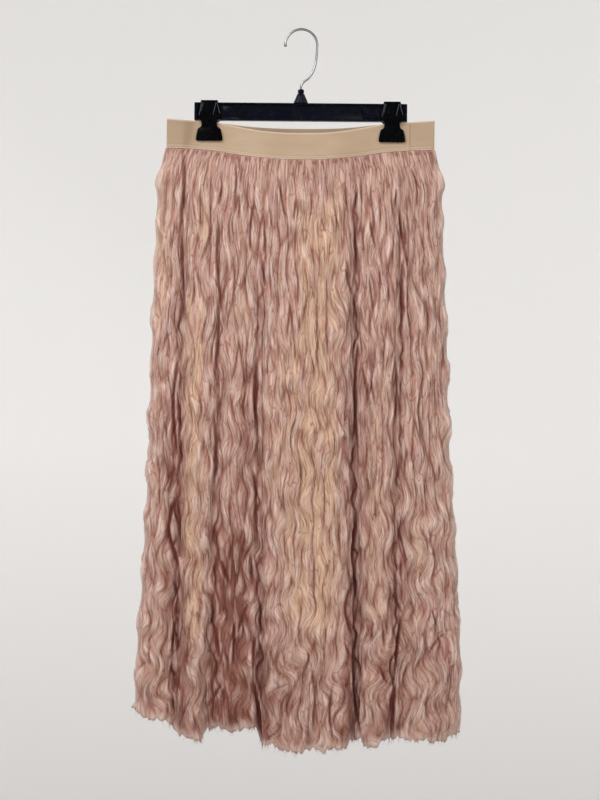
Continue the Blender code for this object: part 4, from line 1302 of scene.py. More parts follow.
def relief(form, side):
    """How far each point stands out from the plain form, its marks for the finish, its place on the cloth."""
    across, _depth, height, below = form[:4]
    rows, columns = across.shape
    run = np.broadcast_to(np.linspace(0.0, PLEATED_WIDTH, columns), (rows, columns))
    seed = SEED[side]
    opened = smoothstep((below - 10.0) / 50.0)
    late = below / LONGEST_FALL
    eased = below * (EASE[0] + EASE[1] * late)
    sway = (WANDER[0] + WANDER[1] * late) * smoothstep(below / 90.0)
    walked = run + sway * slow_waves(run, eased, WANDER_WIDTH, WANDER_LENGTH, seed)
    lean = 0.75 * np.tanh(2.2 * slow_waves(run, below, 21.0, 60.0, seed + 2))
    pleats = roofs(pleat_waves(walked, eased, PLEAT_PITCH, PLEAT_SPREAD, PLEAT_LENGTH, seed + 4), lean, 1.3)
    gathers = roofs(pleat_waves(walked, below, GATHER_PITCH, 0.2, 60.0, seed + 5), 0.5 * lean, 1.4)
    edge, offset, tone = leaves(walked, eased, LEAF_WIDTH, LEAF_LENGTH, seed + 9)
    small_edge, small_offset, small_tone = leaves(walked + 1.5 * lean, eased, *SMALL_LEAF, seed + 10)
    facet = rounded(edge / (0.30 * LEAF_WIDTH))
    small = rounded(small_edge / (0.34 * SMALL_LEAF[0]))
    vigour = 1.0 + 0.28 * slow_waves(run, below, 46.0, 62.0, seed + 7)
    in_fold = fold_depth(across / USUAL_REACH, USUAL_REACH, height, side, 1.2) / USUAL_FOLD
    calm = 1.0 - 0.35 * limited(in_fold)
    calm *= 1.0 - 0.25 * lining_shows(across, height, run, below, side)
    start = 0.3 + 0.7 * smoothstep(below / 8.0)
    out = opened * vigour * (LEAF_OUT * facet + LEAF_TILT * offset + PLEAT_OUT * pleats)
    out += (1.0 - opened) * start * (1.6 * gathers + 0.4)
    out += start * (0.9 * small + 1.5 * small_offset)
    out += 0.7 * opened * slow_waves(run, below, 24.0, 48.0, seed + 8)
    # Thin lines of painted shade: along the upright creases of the facets, in the pits of the gathers at the
    # seam and in the furrows between them.
    lines = limited(0.74 + 0.6 * slow_waves(run, below, 16.0, 50.0, seed + 14))
    line = opened * lines * bell(edge / LINE_REACH) * upright_share(edge)
    small_line = (1.0 - 0.25 * opened) * 0.80 * lines * bell(small_edge / SMALL_LINE_REACH)
    line = np.maximum(line, small_line * upright_share(small_edge))
    pits = limited(1.6 * slow_waves(run, 0.0 * run, 8.0, 8.0, seed + 15) - 0.2)
    pits = bell((below - PITS_AT) / 4.0) * pits
    furrows = limited((0.30 - gathers) / 0.25) * (1.0 - smoothstep((below - 15.0) / 55.0)) * lines
    line = np.maximum(line, np.maximum(0.8 * pits, 0.75 * furrows))
    tone = np.clip(0.6 * tone + 0.45 * small_tone, -1.0, 1.0)
    lowered, dark = crease_depth(across, height, side)
    valley, valley_dark = valley_depth(across, height, run, below, side)
    out = out * calm - (lowered + valley) * smoothstep(below / 14.0)
    dark = np.maximum(dark, valley_dark)
    from_side = np.minimum(run, PLEATED_WIDTH - run)
    lobe = SIDE_LOBE * np.sin(2.0 * pi * (below - 18.0) / SIDE_LOBE_LENGTH) * smoothstep(below / 30.0)
    hip = bell((below - HIP_AT) / HIP_SPREAD)
    lobe += 4.5 * hip - 3.0 * bell((below - NARROW_AT) / HIP_SPREAD)
    out += lobe * bell((from_side - 7.0) / 7.0)
    out = np.clip(out, RELIEF_FLOOR, RELIEF_TOP)
    out += HIP_LOBE * hip * bell(from_side / 10.0)
    # Painted shade, deeper in the usual folds and in the shaded patches.
    dim = limited(0.8 * in_fold + dim_patches(across, height, side))
    # The painted shade of the crease and valley bottoms goes into the fold mark.
    marks = {"fold": 0.88 * dark, "dim": dim, "line": line, "tone": 0.5 + 0.5 * tone}
    return out * smoothstep(from_side / 3.5), marks, walked


# %% [markdown]
# ## The raw hem
#
# The hem was cut with no turning, so it ends in small uneven tufts where each pleat hangs a little lower or
# higher than the next. The last rows of the outside are pulled down or up for that, and the inside follows
# the outside closely over the last stretch, so that the edge is as thin as cloth.

# %% Panels
FINE_COLUMNS = 398
FINE_ROWS = 226
INNER_COLUMNS = 66
INNER_ROWS = 52
INNER_WALL = 2.2
EDGE_FROM = 0.968
EDGE_WALLS = (1.5, 0.9, 0.5)
TUFT_PITCH = 8.5
TUFTS_FROM = 0.972
TIPS_FROM = 0.982
HOLLOW_REACH = (4, 5)
HOLLOW_DEPTH = 4.6
SHEER_REACH = 9.0
INSIDE_MARK = 0.2


def tufts(run, side):
    """How far each tuft of the hem hangs below the plain hem."""
    level = np.zeros(run.shape)
    lean = 0.6 * np.tanh(2.0 * slow_waves(run, level, 20.0, 20.0, SEED[side] + 32))
    roof = roofs(pleat_waves(run, level, TUFT_PITCH, 0.3, 60.0, SEED[side] + 30), lean, 2.4)
    step = np.tanh(2.2 * slow_waves(run, level, 17.0, 17.0, SEED[side] + 33))
    return 4.2 * (roof - 0.7) + 2.0 * step + 2.2 * slow_waves(run, level, 34.0, 34.0, SEED[side] + 31)


def inner_wall(across, height, below, rows, columns, side):
    """The plain inside of a panel, behind its folds, on a coarser grid."""
    wall = []
    for row in rows:
        high = height[row, columns]
        drop = below[row, columns]
        xs, ys = half_section(high, drop, side, INNER_WALL)
        place = across[row, columns]
        place = np.where(
            place > 0.0,
            place * xs[:, -1] / (xs[:, -1] + INNER_WALL),
            place * xs[:, 0] / (xs[:, 0] - INNER_WALL),
        )
        deep = np.array([np.interp(p, x, y) for p, x, y in zip(place, xs, ys)])
        deep = np.maximum(deep, MID_GAP)
        deep[[0, -1]] = MID_GAP
        wall.append(np.stack((place, SIGN[side] * deep, high), axis=-1))
    return np.array(wall)


def build_panel(side):
    """One crinkled panel as a closed thin shell, with its marks for the finish."""
    form = panel_form(side)
    form = [finer(finer(grid, FINE_ROWS + 1).T, FINE_COLUMNS + 1).T for grid in form]
    across, depth, height, below, out_x, out_y = form
    out, marks, walked = relief(form, side)
    shares = np.linspace(0.0, 1.0, FINE_ROWS + 1) ** ROW_SPREAD
    run = np.broadcast_to(np.linspace(0.0, PLEATED_WIDTH, FINE_COLUMNS + 1), across.shape)
    pull = smoothstep((shares - TUFTS_FROM) / (1.0 - TUFTS_FROM))[:, None] * tufts(run, side)
    place = across + out_x * out
    deep = np.maximum(depth + out_y * out, MID_GAP)
    deep[:, [0, -1]] = MID_GAP
    outer = np.stack((place, SIGN[side] * deep, height - pull), axis=-1)
    inner_rows = np.linspace(0.0, EDGE_FROM ** (1.0 / ROW_SPREAD), INNER_ROWS + 1) * FINE_ROWS
    inner_rows = np.unique(inner_rows.round().astype(int))
    inner_columns = np.linspace(0, FINE_COLUMNS, INNER_COLUMNS + 1).round().astype(int)
    inner = inner_wall(across, height, below, inner_rows, inner_columns, side)
    last = inner_rows[-1]
    edge_rows = np.linspace(last + 3, FINE_ROWS, len(EDGE_WALLS)).round().astype(int)
    edge = []
    for row, wall in zip(edge_rows, EDGE_WALLS):
        behind = np.maximum(deep[row] - wall * np.maximum(out_y[row], 0.3), MID_GAP)
        inward = np.clip(place[row], place[row, 0] + wall, place[row, -1] - wall)
        edge.append(np.stack((inward, SIGN[side] * behind, outer[row, :, 2]), axis=-1))
    points, faces = close_shell(outer, [inner, np.array(edge)])
    hollow = limited(0.5 + (blurred(out, *HOLLOW_REACH) - out) / HOLLOW_DEPTH)
    from_side = np.minimum(run, PLEATED_WIDTH - run)
    tips = smoothstep((shares - TIPS_FROM) / (1.0 - TIPS_FROM))[:, None] * np.ones(across.shape)
    marks["hollow"] = hollow
    # More painted shade in the hollows.
    marks["dim"] = limited(marks["dim"] * (0.50 + hollow))
    marks["lining"] = lining_shows(across, height, run, below, side)
    # Painted light coming through the outermost cloth at the sides and the tips of the hem.
    sheer = 0.75 * bell(from_side / SHEER_REACH) * smoothstep(below / 30.0)
    marks["sheer"] = np.maximum(sheer, 0.55 * tips)
    inside_map = points[across.size:][:, [0, 2]]
    rest = np.full(len(inside_map), INSIDE_MARK)
    marks = {label: np.concatenate((grid.ravel(), rest)) for label, grid in marks.items()}
    cloth_map = np.concatenate((np.stack((walked, -below), axis=-1).reshape(-1, 2), inside_map))
    return cloth_piece("skirt_{}_cloth".format(side), points, faces, cloth_map, marks, CHIFFON)


panels = {side: build_panel(side) for side in ("front", "back")}

# %% [markdown]
# ## Threads at the hem
#
# A raw edge of chiffon sheds single threads. They are thin strands, three-sided and pointed, that hang from
# the tufts in slightly different directions. They are made as one joined mesh on each side.

# %% Hem threads
HEM_THREADS = {"front": 300, "back": 240}
THREAD_STEPS = 3
THREAD_MARKS = {"hollow": 0.3, "fold": 0.0, "line": 0.0, "dim": 0.2, "tone": 0.5, "lining": 0.1, "sheer": 0.2}


def hem_threads(side):
    """Pointed strands from points of the hem, as one mesh."""
    draw = np.random.default_rng(SEED[side] + 60)
    mesh = panels[side].data
    count = FINE_COLUMNS + 1
    start = FINE_ROWS * count
    hem = np.array([mesh.vertices[start + column].co for column in range(count)]) / MM
    points = []
    faces = []
    for _ in range(HEM_THREADS[side]):
        root = hem[draw.integers(4, count - 4)] + (0.0, 0.0, 1.2)
        length = 3.0 + 7.5 * draw.random() ** 2
        swing = draw.normal(0.0, 0.28, 2)
        curl = draw.normal(0.0, 0.35, 2)
        thick = 0.30 + 0.25 * draw.random()
        first = len(points)
        for step in range(THREAD_STEPS + 1):
            down = step / THREAD_STEPS
            side_way = (swing + curl * down) * length * down
            middle = root + (side_way[0], side_way[1] * 0.5, -length * down)
            for corner in range(3):
                turn = 2.0 * pi * corner / 3.0
                wide = thick * (1.0 - 0.88 * down)
                points.append(middle + (wide * cos(turn), wide * sin(turn), 0.0))
        for step in range(THREAD_STEPS):
            for corner in range(3):
                here = first + 3 * step + corner
                beside = first + 3 * step + (corner + 1) % 3
                faces.append((here, here + 3, beside + 3, beside))
        faces.append((first, first + 1, first + 2))
        last = first + 3 * THREAD_STEPS
        faces.append((last + 2, last + 1, last))
    points = np.array(points)
    marks = {label: np.full(len(points), value) for label, value in THREAD_MARKS.items()}
    name = "hem_threads_{}".format(side)
    return cloth_piece(name, points, faces, points[:, [0, 2]], marks, CHIFFON)


threads = {side: hem_threads(side) for side in ("front", "back")}

# %% [markdown]
# ## The lining
#
# The lining is a plain straight tube, shorter and narrower than the skirt. It hangs from the same seam in a
# few soft gathers and ends in a turned hem, which shows from below. Two panels meet at the sides.

# %% Lining
LINING_WALL = 0.8
LINING_FOOT = -900.0
LINING_HALF_WIDTH = 187.0
LINING_SPREAD = 6.0
LINING_SIDE_SHARE = 0.992
LINING_COLUMNS = 120
LINING_ROWS = 56
LINING_AT_BAND = 0.5
LINING_CLEARANCE = 1.7
PANEL_WALL = 2.6
LINING_HEM_HEIGHT = 14.0
LINING_HEM_OUT = 0.45
LINING_TUCK = -0.004
LINING_LEAST = 1.2
# height, half depth
LINING_DEPTH = (
    (-166, 16), (-260, 14), (-560, 15), (-900, 17),
)


def lining_room(across, height, below, side):
    """How deep the lining may lie at each place, clear of the inside of the skirt."""
    xs, ys = half_section(height, below, side, PANEL_WALL)
    near = np.linspace(-2.0, 2.0, 7) * LINING_CLEARANCE
    room = [np.interp(np.clip(place + near, x[0], x[-1]), x, y).min() for place, x, y in zip(across, xs, ys)]
    return np.array(room) - LINING_CLEARANCE


def build_lining(side):
    shares = np.linspace(-LINING_SIDE_SHARE, LINING_SIDE_SHARE, LINING_COLUMNS + 1)
    shares = np.concatenate(([-1.0], shares, [1.0]))
    outer = []
    inner = []
    for step in range(LINING_ROWS + 1):
        down = LINING_TUCK + (1.0 - LINING_TUCK) * (step / LINING_ROWS) ** 1.25
        across = shares * (LINING_HALF_WIDTH + LINING_SPREAD * max(down, 0.0))
        at_band = np.clip(across, -BAND_HALF_WIDTH, BAND_HALF_WIDTH)
        top, foot = band_heights(at_band, side)
        height = foot + (LINING_FOOT - foot) * down
        band_share = limited((height - top) / (foot - top))
        inside_band = band_depth(at_band, band_share, side) - BAND_THICKNESS / 2.0 - LINING_AT_BAND
        loose = smoothstep((foot - height) / 60.0)
        free = down_table(LINING_DEPTH, 1, height)
        depth = inside_band + (np.minimum(free, 3.0 * inside_band + 6.0) - inside_band) * loose
        if down > 0.0:
            depth = np.minimum(depth, lining_room(across, height, foot - height, side))
        gathers = 0.9 * np.sin(across / 5.4 + 2.0 * np.sin(across / 37.0 + down * 2.0)) - 0.9
        turned = LINING_HEM_OUT * smoothstep((LINING_FOOT + LINING_HEM_HEIGHT - height) / 0.8)
        depth = np.maximum(depth + gathers * loose + turned - LINING_HEM_OUT, LINING_LEAST)
        depth[[0, -1]] = MID_GAP
        back = np.maximum(depth - LINING_WALL, MID_GAP)
        inside = across * (1.0 - LINING_WALL / LINING_HALF_WIDTH)
        outer.append(np.stack((across, SIGN[side] * depth, height), axis=-1))
        if step % 4 == 0:
            inner.append(np.stack((inside, SIGN[side] * back, height), axis=-1))
    points, faces = close_shell(np.array(outer), [np.array(inner)])
    return cloth_piece("lining_{}_cloth".format(side), points, faces, points[:, [0, 2]], {}, LINING)


linings = {side: build_lining(side) for side in ("front", "back")}

# %% [markdown]
# ## The waistband
#
# The elastic is one flat ring. Its top edge is a firm rounded lip, a line of stitching runs above the seam
# and draws the elastic in a little, and its join stands up as a narrow ridge near the right clip. The outside
# is a fine grid so that all of this is real form; the plain inside is coarser. A mark paints shade into the
# stitched groove, beside the join and at the ends, where the elastic turns from the light; another mark gives
# the raised lips a painted highlight.

# %% Waistband
BAND_COLUMNS = 384
BAND_END_STEPS = 7
# share of the way down the band, how far its outside stands out there, how much painted highlight it gets,
# with painted shade in a groove where that number is below 0
BAND_PROFILE = (
    (0.000, -0.55, 0.9), (0.006, -0.10, 1), (0.020, 0.12, 0.8), (0.045, 0.14, 0.3), (0.070, 0.00, 0),
    (0.200, 0.00, 0), (0.350, 0.00, 0), (0.500, 0.00, 0), (0.650, 0.00, 0), (0.780, 0.02, 0),
    (0.830, 0.10, 0), (0.858, -0.20, -0.35), (0.885, 0.16, 0.3), (0.930, 0.05, 0), (0.952, -0.10, -0.2),
    (0.972, 0.30, 0.9), (0.990, 0.14, 0.4), (1.000, -0.45, -1),
)
BAND_INSIDE = (0.0, 0.02, 0.3, 0.6, 0.8, 0.9, 0.98, 1.0)
BAND_MID_HEIGHT = -150.0
JOIN_AT = 155.0
END_SHADE_FROM = 138.0
END_SHADE_FADE = 26.0
END_SHADES = (0.46, 0.12)
LEFT_SHADE_AT = -161.5
# place across and height of both ends of a soft wrinkle in the elastic, how far in, half width
BAND_WRINKLES = (
    (-158.5, -155, -166, -171, 0.45, 1.7), (-176, -136, -172, -160, 0.30, 5),
    (-104, -150, -98, -172, 0.25, 4), (104, -148, 99, -172, 0.25, 4),
)


def band_relief(across, height, share, side):
    """Join, puckers and wrinkles of the elastic, in millimetres outwards."""
    puckers = 0.16 * np.sin(across / 2.3 + 1.5 * np.sin(across / 19.0)) * smoothstep((share - 0.80) / 0.1)
    out = puckers + 0.10 * slow_waves(across, height, 60.0, 45.0, 5) * smoothstep(share / 0.1)
    if side == "front":
        away = across - JOIN_AT
        out += 0.42 * bell(away / 1.5) - 0.30 * bell(away - 2.6)
        for top_x, top, foot_x, foot, deep, half_width in BAND_WRINKLES:
            along = limited((top - height) / (top - foot))
            spot = (across - top_x - (foot_x - top_x) * along) / half_width
            out -= deep * bell(spot) * np.sin(pi * along)
    return out


def band_loop(share, offset, detailed):
    """One closed loop of points round the waistband, at a share of its height and an offset outwards."""
    end_radius = float(band_depth(BAND_HALF_WIDTH, share, "front"))
    end_centre = BAND_HALF_WIDTH - end_radius
    places = np.linspace(-end_centre, end_centre, BAND_COLUMNS + 1)
    loop = []
    for side in ("front", "back"):
        sign = SIGN[side]
        across = places if side == "front" else places[::-1]
        top, foot = band_heights(across, side)
        depth = band_depth(across, share, side)
        slope = np.gradient(depth, across)
        height = top + (foot - top) * share
        lift = offset
        if detailed:
            fade = smoothstep((end_centre - np.abs(across)) / 3.0)
            lift = offset + band_relief(across, height, np.full(across.shape, share), side) * fade
        steep = np.hypot(slope, 1.0)
        x = across - lift * slope / steep
        y = sign * (depth + lift / steep)
        loop += list(zip(x, y, height))
        turn = -sign
        end_top, end_foot = band_heights(BAND_HALF_WIDTH, side)
        end_height = float(end_top * (1.0 - share)) + float(end_foot * share)
        for step in range(1, BAND_END_STEPS):
            angle = pi * step / BAND_END_STEPS - pi / 2.0
            loop.append((
                turn * (end_centre + (end_radius + offset) * cos(angle)),
                turn * (end_radius + offset) * sin(angle),
                end_height,
            ))
    return np.array(loop)


def build_waistband():
    half = BAND_THICKNESS / 2.0
    outer = [band_loop(share, half + out, True) for share, out, _ in BAND_PROFILE]
    inner = [band_loop(share, -half + 0.1 * (share in (0.0, 1.0)), False) for share in BAND_INSIDE]
    loops = outer + inner[::-1]
    count = len(loops[0])
    points = np.concatenate(loops)
    faces = []
    for row in range(len(loops)):
        following = (row + 1) % len(loops)
        for column in range(count):
            beside = (column + 1) % count
            here, below = row * count, following * count
            faces.append((here + column, below + column, below + beside, here + beside))
    # The profile's last column: painted highlight on the raised lips, and below 0 painted shade in the
    # grooves.
    edge = [tone for _, _, tone in BAND_PROFILE] + [0.0] * len(BAND_INSIDE)
    marks = {"edge": np.repeat(edge, count)}
    x, y, z = points.T
    # Painted shade: at the ends, where the elastic turns from the light, in a band on the left, beside the
    # join and in the stitched grooves.
    end_shade = smoothstep((np.abs(x) - END_SHADE_FROM) / END_SHADE_FADE) * np.where(x < 0.0, *END_SHADES)
    from_middle = z - BAND_MID_HEIGHT
    leaning = x - LEFT_SHADE_AT - 0.12 * from_middle
    left_shade = 0.72 * bell(leaning / (7.0 + 0.09 * from_middle)) * (y < 0.0)
    join_shade = 0.8 * bell((x - JOIN_AT - 2.4) / 0.9) * (y < 0.0)
    groove_shade = np.repeat([max(-tone, 0.0) for tone in edge], count)
    marks["shade"] = limited(end_shade + left_shade + join_shade + groove_shade)
    marks["edge"] = limited(marks["edge"])
    cloth_map = np.stack((x, z), axis=-1)
    return cloth_piece("waistband_elastic", points, faces, cloth_map, marks, ELASTIC)


waistband = build_waistband()

# %% [markdown]
# Two rows of stitches hold the elastic to the skirt. Each stitch is a short rounded bar lying on the elastic.
# One is made and then repeated along both sides by a loop, as one joined mesh.

# %% Stitches
STITCH_LENGTH = 2.3
STITCH_STEP = 3.0
STITCH_RADIUS = 0.22
STITCH_ROWS = (0.862, 0.952)
STITCH_SIDES = 5
STITCH_END = 6.0
# place along the stitch, share of its radius
STITCH_RINGS = ((-0.5, 0.35), (-0.38, 0.9), (0.0, 1.0), (0.38, 0.9), (0.5, 0.35))


def build_stitches():
    points = []
    faces = []
    for side in ("front", "back"):
        for share in STITCH_ROWS:
            places = np.arange(-BAND_HALF_WIDTH + STITCH_END, BAND_HALF_WIDTH - STITCH_END, STITCH_STEP)
            top, foot = band_heights(places, side)
            depth = band_depth(places, share, side)
            height = top + (foot - top) * share
            slope = np.gradient(depth, places)
            fall = np.gradient(height, places)
            lift = BAND_THICKNESS / 2.0 + band_relief(places, height, np.full(places.shape, share), side)
            for x, y, z, lean, drop, out in zip(places, depth, height, slope, fall, lift):
                first = len(points)
                for along, swell in STITCH_RINGS:
                    step = along * STITCH_LENGTH
                    for corner in range(STITCH_SIDES):
                        turn = 2.0 * pi * corner / STITCH_SIDES
                        wide = STITCH_RADIUS * swell
                        points.append((
                            x + step,
                            SIGN[side] * (y + out + step * lean + wide * cos(turn)),
                            z + step * drop + wide * sin(turn),
                        ))
                for ring in range(len(STITCH_RINGS) - 1):
                    for corner in range(STITCH_SIDES):
                        here = first + ring * STITCH_SIDES + corner
                        beside = first + ring * STITCH_SIDES + (corner + 1) % STITCH_SIDES
                        quad = (here, beside, beside + STITCH_SIDES, here + STITCH_SIDES)
                        faces.append(quad if side == "front" else quad[::-1])
                last = first + (len(STITCH_RINGS) - 1) * STITCH_SIDES
                start, end = ([at + corner for corner in range(STITCH_SIDES)] for at in (first, last))
                faces.append(start[::-1] if side == "front" else start)
                faces.append(end if side == "front" else end[::-1])
    points = np.array(points)
    return cloth_piece("waistband_stitches", points, faces, points[:, [0, 2]], {}, THREAD)


stitches = build_stitches()

# %% [markdown]
# ## The finishes of the hanger
#
# The hanger is injection-moulded polystyrene, black with a blue cast, with faint flow marks. Its clips are
# moulded apart from a duller black plastic. The ribs of the clips and of the neck carry a mark and get a pale
# painted highlight. The hook is plated steel wire, bright where it faces the eye, with a painted dark
# reflection where it turns away.

# %% Hanger materials
PLASTIC_NAVY = (0.0016, 0.0021, 0.0070, 1.0)
PLASTIC_WORN = (0.008, 0.0095, 0.017, 1.0)
CLIP_BLACK = (0.0006, 0.0007, 0.0012, 1.0)
CLIP_WORN = (0.0030, 0.0034, 0.0060, 1.0)
PLASTIC_PAINTED_RIB_HIGHLIGHT = (0.075, 0.082, 0.100, 1.0)
PLASTIC_SHINE = 0.065
CLIP_SHINE = 0.040
STEEL_BRIGHT = (0.50, 0.50, 0.52, 1.0)
STEEL_DULL = (0.24, 0.24, 0.26, 1.0)
STEEL_PAINTED_DARK_REFLECTION = (0.030, 0.030, 0.033, 1.0)


def plastic_material(name, plain, worn, shine):
    material, tree, shader = new_material(name, {"Specular IOR Level": shine})
    place = add_node(tree, "ShaderNodeTexCoord").outputs["Object"]
    mottle = place_group(tree, MOTTLE, place, Slow=70.0, Fine=1400.0)
    cloudy = spread(tree, mottle.outputs["Slow Mask"], 0.45, 0.85, 0.35)
    # Painted highlight on the ribs that carry the mark.
    rib_highlight = times(tree, read_mark(tree, "rib_highlight"), 0.8)
    tone = mix_colour(tree, cloudy, plain, worn)
    wire(tree, mix_colour(tree, rib_highlight, tone, PLASTIC_PAINTED_RIB_HIGHLIGHT), shader.inputs["Base Color"])
    rough = plus(tree, 0.15, times(tree, mottle.outputs["Slow Mask"], 0.22))
    wire(tree, rough, shader.inputs["Roughness"])
    add_bump(tree, shader, mottle.outputs["Fine Mask"], 0.12, 0.06)
    return material


def steel_material():
    material, tree, shader = new_material("plated steel", {"Metallic": 1.0})
    place = add_node(tree, "ShaderNodeTexCoord").outputs["Object"]
    mottle = place_group(tree, MOTTLE, place, Slow=260.0, Fine=2600.0)
    facing = add_node(tree, "ShaderNodeLayerWeight", {"Blend": 0.42}).outputs["Facing"]
    # Painted dark reflection towards the rim of the wire, where it turns from the eye.
    turned = spread(tree, facing, 0.04, 0.34)
    tone = mix_colour(tree, mottle.outputs["Slow Mask"], STEEL_BRIGHT, STEEL_DULL)
    wire(tree, mix_colour(tree, turned, tone, STEEL_PAINTED_DARK_REFLECTION), shader.inputs["Base Color"])
    rough = plus(tree, 0.10, times(tree, mottle.outputs["Fine Mask"], 0.2))
    wire(tree, rough, shader.inputs["Roughness"])
    add_bump(tree, shader, mottle.outputs["Fine Mask"], 0.1, 0.05)
    return material


PLASTIC = plastic_material("moulded plastic", PLASTIC_NAVY, PLASTIC_WORN, PLASTIC_SHINE)
CLIP_PLASTIC = plastic_material("black clip plastic", CLIP_BLACK, CLIP_WORN, CLIP_SHINE)
STEEL = steel_material()
print("finishes", PLASTIC.name, CLIP_PLASTIC.name, STEEL.name)

# %% [markdown]
# ## The bar of the hanger
#
# The bar is a beam with a web and two flanges. A cube is cut by bisecting planes along the edges of its bays,
# the faces of the bays are picked by their place, and they are pushed in to the web from both sides. The
# bosses and the little steps inside the end bays are cubes and cylinders of their own, joined to it.

# %% Bar
BAR_HALF_LENGTH = 153.0
BAR_TOP = -105.3
BAR_BOTTOM = -130.5
BAR_HALF_DEPTH = 4.5
BAR_FLANGE = 2.6
BAR_WEB = 2.2
BAR_RIB = 1.8
BAR_RIB_AT = 88.7
BAR_END = 4.0
BOSS_AT = 79.6
BOSS_HEIGHT = -118.0
BOSS_RADIUS = 2.4
BOSS_SIDES = 24
BOSS_LENGTH = 2.0
BOSS_MIDDLE = 0.9
BOSS_RIM = 0.8
BAY_STEP = 1.1
BAY_STEP_END = 112.0
BAY_STEP_HEIGHTS = (-125.6, -110.4)


def cut_plane(place, normal):
    """Cuts the whole mesh along a plane, in edit mode."""
    bpy.ops.mesh.select_all(action="SELECT")
    bpy.ops.mesh.bisect(plane_co=[value * MM for value in place], plane_no=normal)


def build_bar():
    bar = cube_between(
        "hanger_bar_moulded",
        (-BAR_HALF_LENGTH, -BAR_HALF_DEPTH, BAR_BOTTOM),
        (BAR_HALF_LENGTH, BAR_HALF_DEPTH, BAR_TOP),
    )
    half_rib = BAR_RIB / 2.0
    bays = (
        (-BAR_HALF_LENGTH + BAR_END, -BAR_RIB_AT - half_rib),
        (-BAR_RIB_AT + half_rib, BAR_RIB_AT - half_rib),
        (BAR_RIB_AT + half_rib, BAR_HALF_LENGTH - BAR_END),
    )
    edit(bar)
    for bay in bays:
        for place in bay:
            cut_plane((place, 0.0, 0.0), (1.0, 0.0, 0.0))
    for height in (BAR_TOP - BAR_FLANGE, BAR_BOTTOM + BAR_FLANGE):
        cut_plane((0.0, 0.0, height), (0.0, 0.0, 1.0))
    pushed = BAR_HALF_DEPTH - BAR_WEB / 2.0
    for sign in (-1.0, 1.0):
        for start, end in bays:
            pick_faces(bar, lambda at, normal: (
                normal.y * sign > 0.9 and start < at.x < end and abs(at.y) > BAR_HALF_DEPTH - 0.1
                and BAR_BOTTOM + BAR_FLANGE < at.z < BAR_TOP - BAR_FLANGE
            ))
            extrude(deep=-sign * pushed)
    done()
    soften(bar, 0.45)
    parts = [bar]
    for sign in (-1.0, 1.0):
        for x in (-BOSS_AT, BOSS_AT):
            clear_selection()
            bpy.ops.mesh.primitive_cylinder_add(
                vertices=BOSS_SIDES, radius=BOSS_RADIUS * MM, depth=BOSS_LENGTH * MM,
                location=(x * MM, sign * (BAR_WEB / 2.0 + BOSS_MIDDLE) * MM, BOSS_HEIGHT * MM),
                rotation=(pi / 2.0, 0.0, 0.0),
            )
            boss = bpy.context.object
            bpy.ops.object.transform_apply(location=True, rotation=True, scale=True)
            edit(boss)
            pick_faces(boss, lambda at, normal: normal.y * sign > 0.9)
            bpy.ops.mesh.inset(thickness=BOSS_RIM * MM)
            extrude(deep=-sign * BOSS_RIM)
            done()
            parts.append(soften(boss, 0.2))
        for x in (-1.0, 1.0):
            low, high = sorted((x * (BAR_RIB_AT + half_rib), x * BAY_STEP_END))
            near, far = sorted((sign * (BAR_WEB / 2.0 - 0.2), sign * (BAR_WEB / 2.0 + BAY_STEP)))
            foot, top = BAY_STEP_HEIGHTS
            plate = cube_between("bay_step", (low, near, foot), (high, far, top))
            parts.append(soften(plate, 0.3))
    return join(parts, "hanger_bar_moulded")


bar = build_bar()
print("bar", len(bar.data.polygons), "faces")

# %% [markdown]
# ## The neck
#
# The neck is a small collar over a fluted cone, flattened from front to back. A circle is extruded up ring
# by ring, and two strips of every four of the cone's faces are pushed out to make its ribs.

# %% Neck
NECK_SIDES = 64
NECK_FLATTEN = 0.62
# height, radius
NECK_RINGS = (
    (-105, 9.9), (-103, 9.2), (-97, 6.6), (-91.6, 4.3), (-90.4, 3.7), (-90, 4.2), (-89.3, 4.5), (-86, 4.4),
    (-85.1, 3.7), (-85, 2.2),
)
NECK_RIB_TOP = -91.6
NECK_RIB_OUT = 0.75
NECK_RIB_HIGHLIGHT = 0.3


def neck_rib_at(across, deep):
    """Whether a direction from the middle of the neck points to a rib, not to a flute."""
    return int((atan2(deep, across) / (2.0 * pi) + 1.0) * NECK_SIDES) % 4 < 2


def build_neck():
    clear_selection()
    height, radius = NECK_RINGS[0]
    bpy.ops.mesh.primitive_circle_add(
        vertices=NECK_SIDES, radius=radius * MM, fill_type="NGON", location=(0.0, 0.0, height * MM)
    )
    neck = bpy.context.object
    bpy.ops.object.transform_apply(location=True)
    edit(neck)
    bpy.ops.mesh.select_all(action="SELECT")
    for next_height, next_radius in NECK_RINGS[1:]:
        extrude(up=next_height - height)
        grow = next_radius / radius
        bpy.ops.transform.resize(value=(grow, grow, 1.0))
        height, radius = next_height, next_radius
    bpy.ops.mesh.select_all(action="SELECT")
    bpy.ops.mesh.normals_make_consistent(inside=False)
    pick_faces(neck, lambda at, normal: (
        abs(normal.z) < 0.8 and at.z < NECK_RIB_TOP and neck_rib_at(at.x, at.y)
    ))
    bpy.ops.mesh.extrude_region_shrink_fatten(
        TRANSFORM_OT_shrink_fatten={"value": NECK_RIB_OUT * MM}
    )
    bpy.ops.mesh.select_all(action="SELECT")
    bpy.ops.transform.resize(value=(1.0, NECK_FLATTEN, 1.0), center_override=(0.0, 0.0, 0.0))
    done()
    neck.name = "hanger_neck_moulded"
    soften(neck, 0.18)
    # The ribs of the neck get a weak painted highlight.
    rib_highlight = neck.data.attributes.new("rib_highlight", "FLOAT", "POINT")
    rib_highlight.data.foreach_set("value", [
        NECK_RIB_HIGHLIGHT * (point.co.z < NECK_RIB_TOP * MM and neck_rib_at(point.co.x, point.co.y / NECK_FLATTEN))
        for point in neck.data.vertices
    ])
    return neck


neck = build_neck()
print("neck", len(neck.data.polygons), "faces")

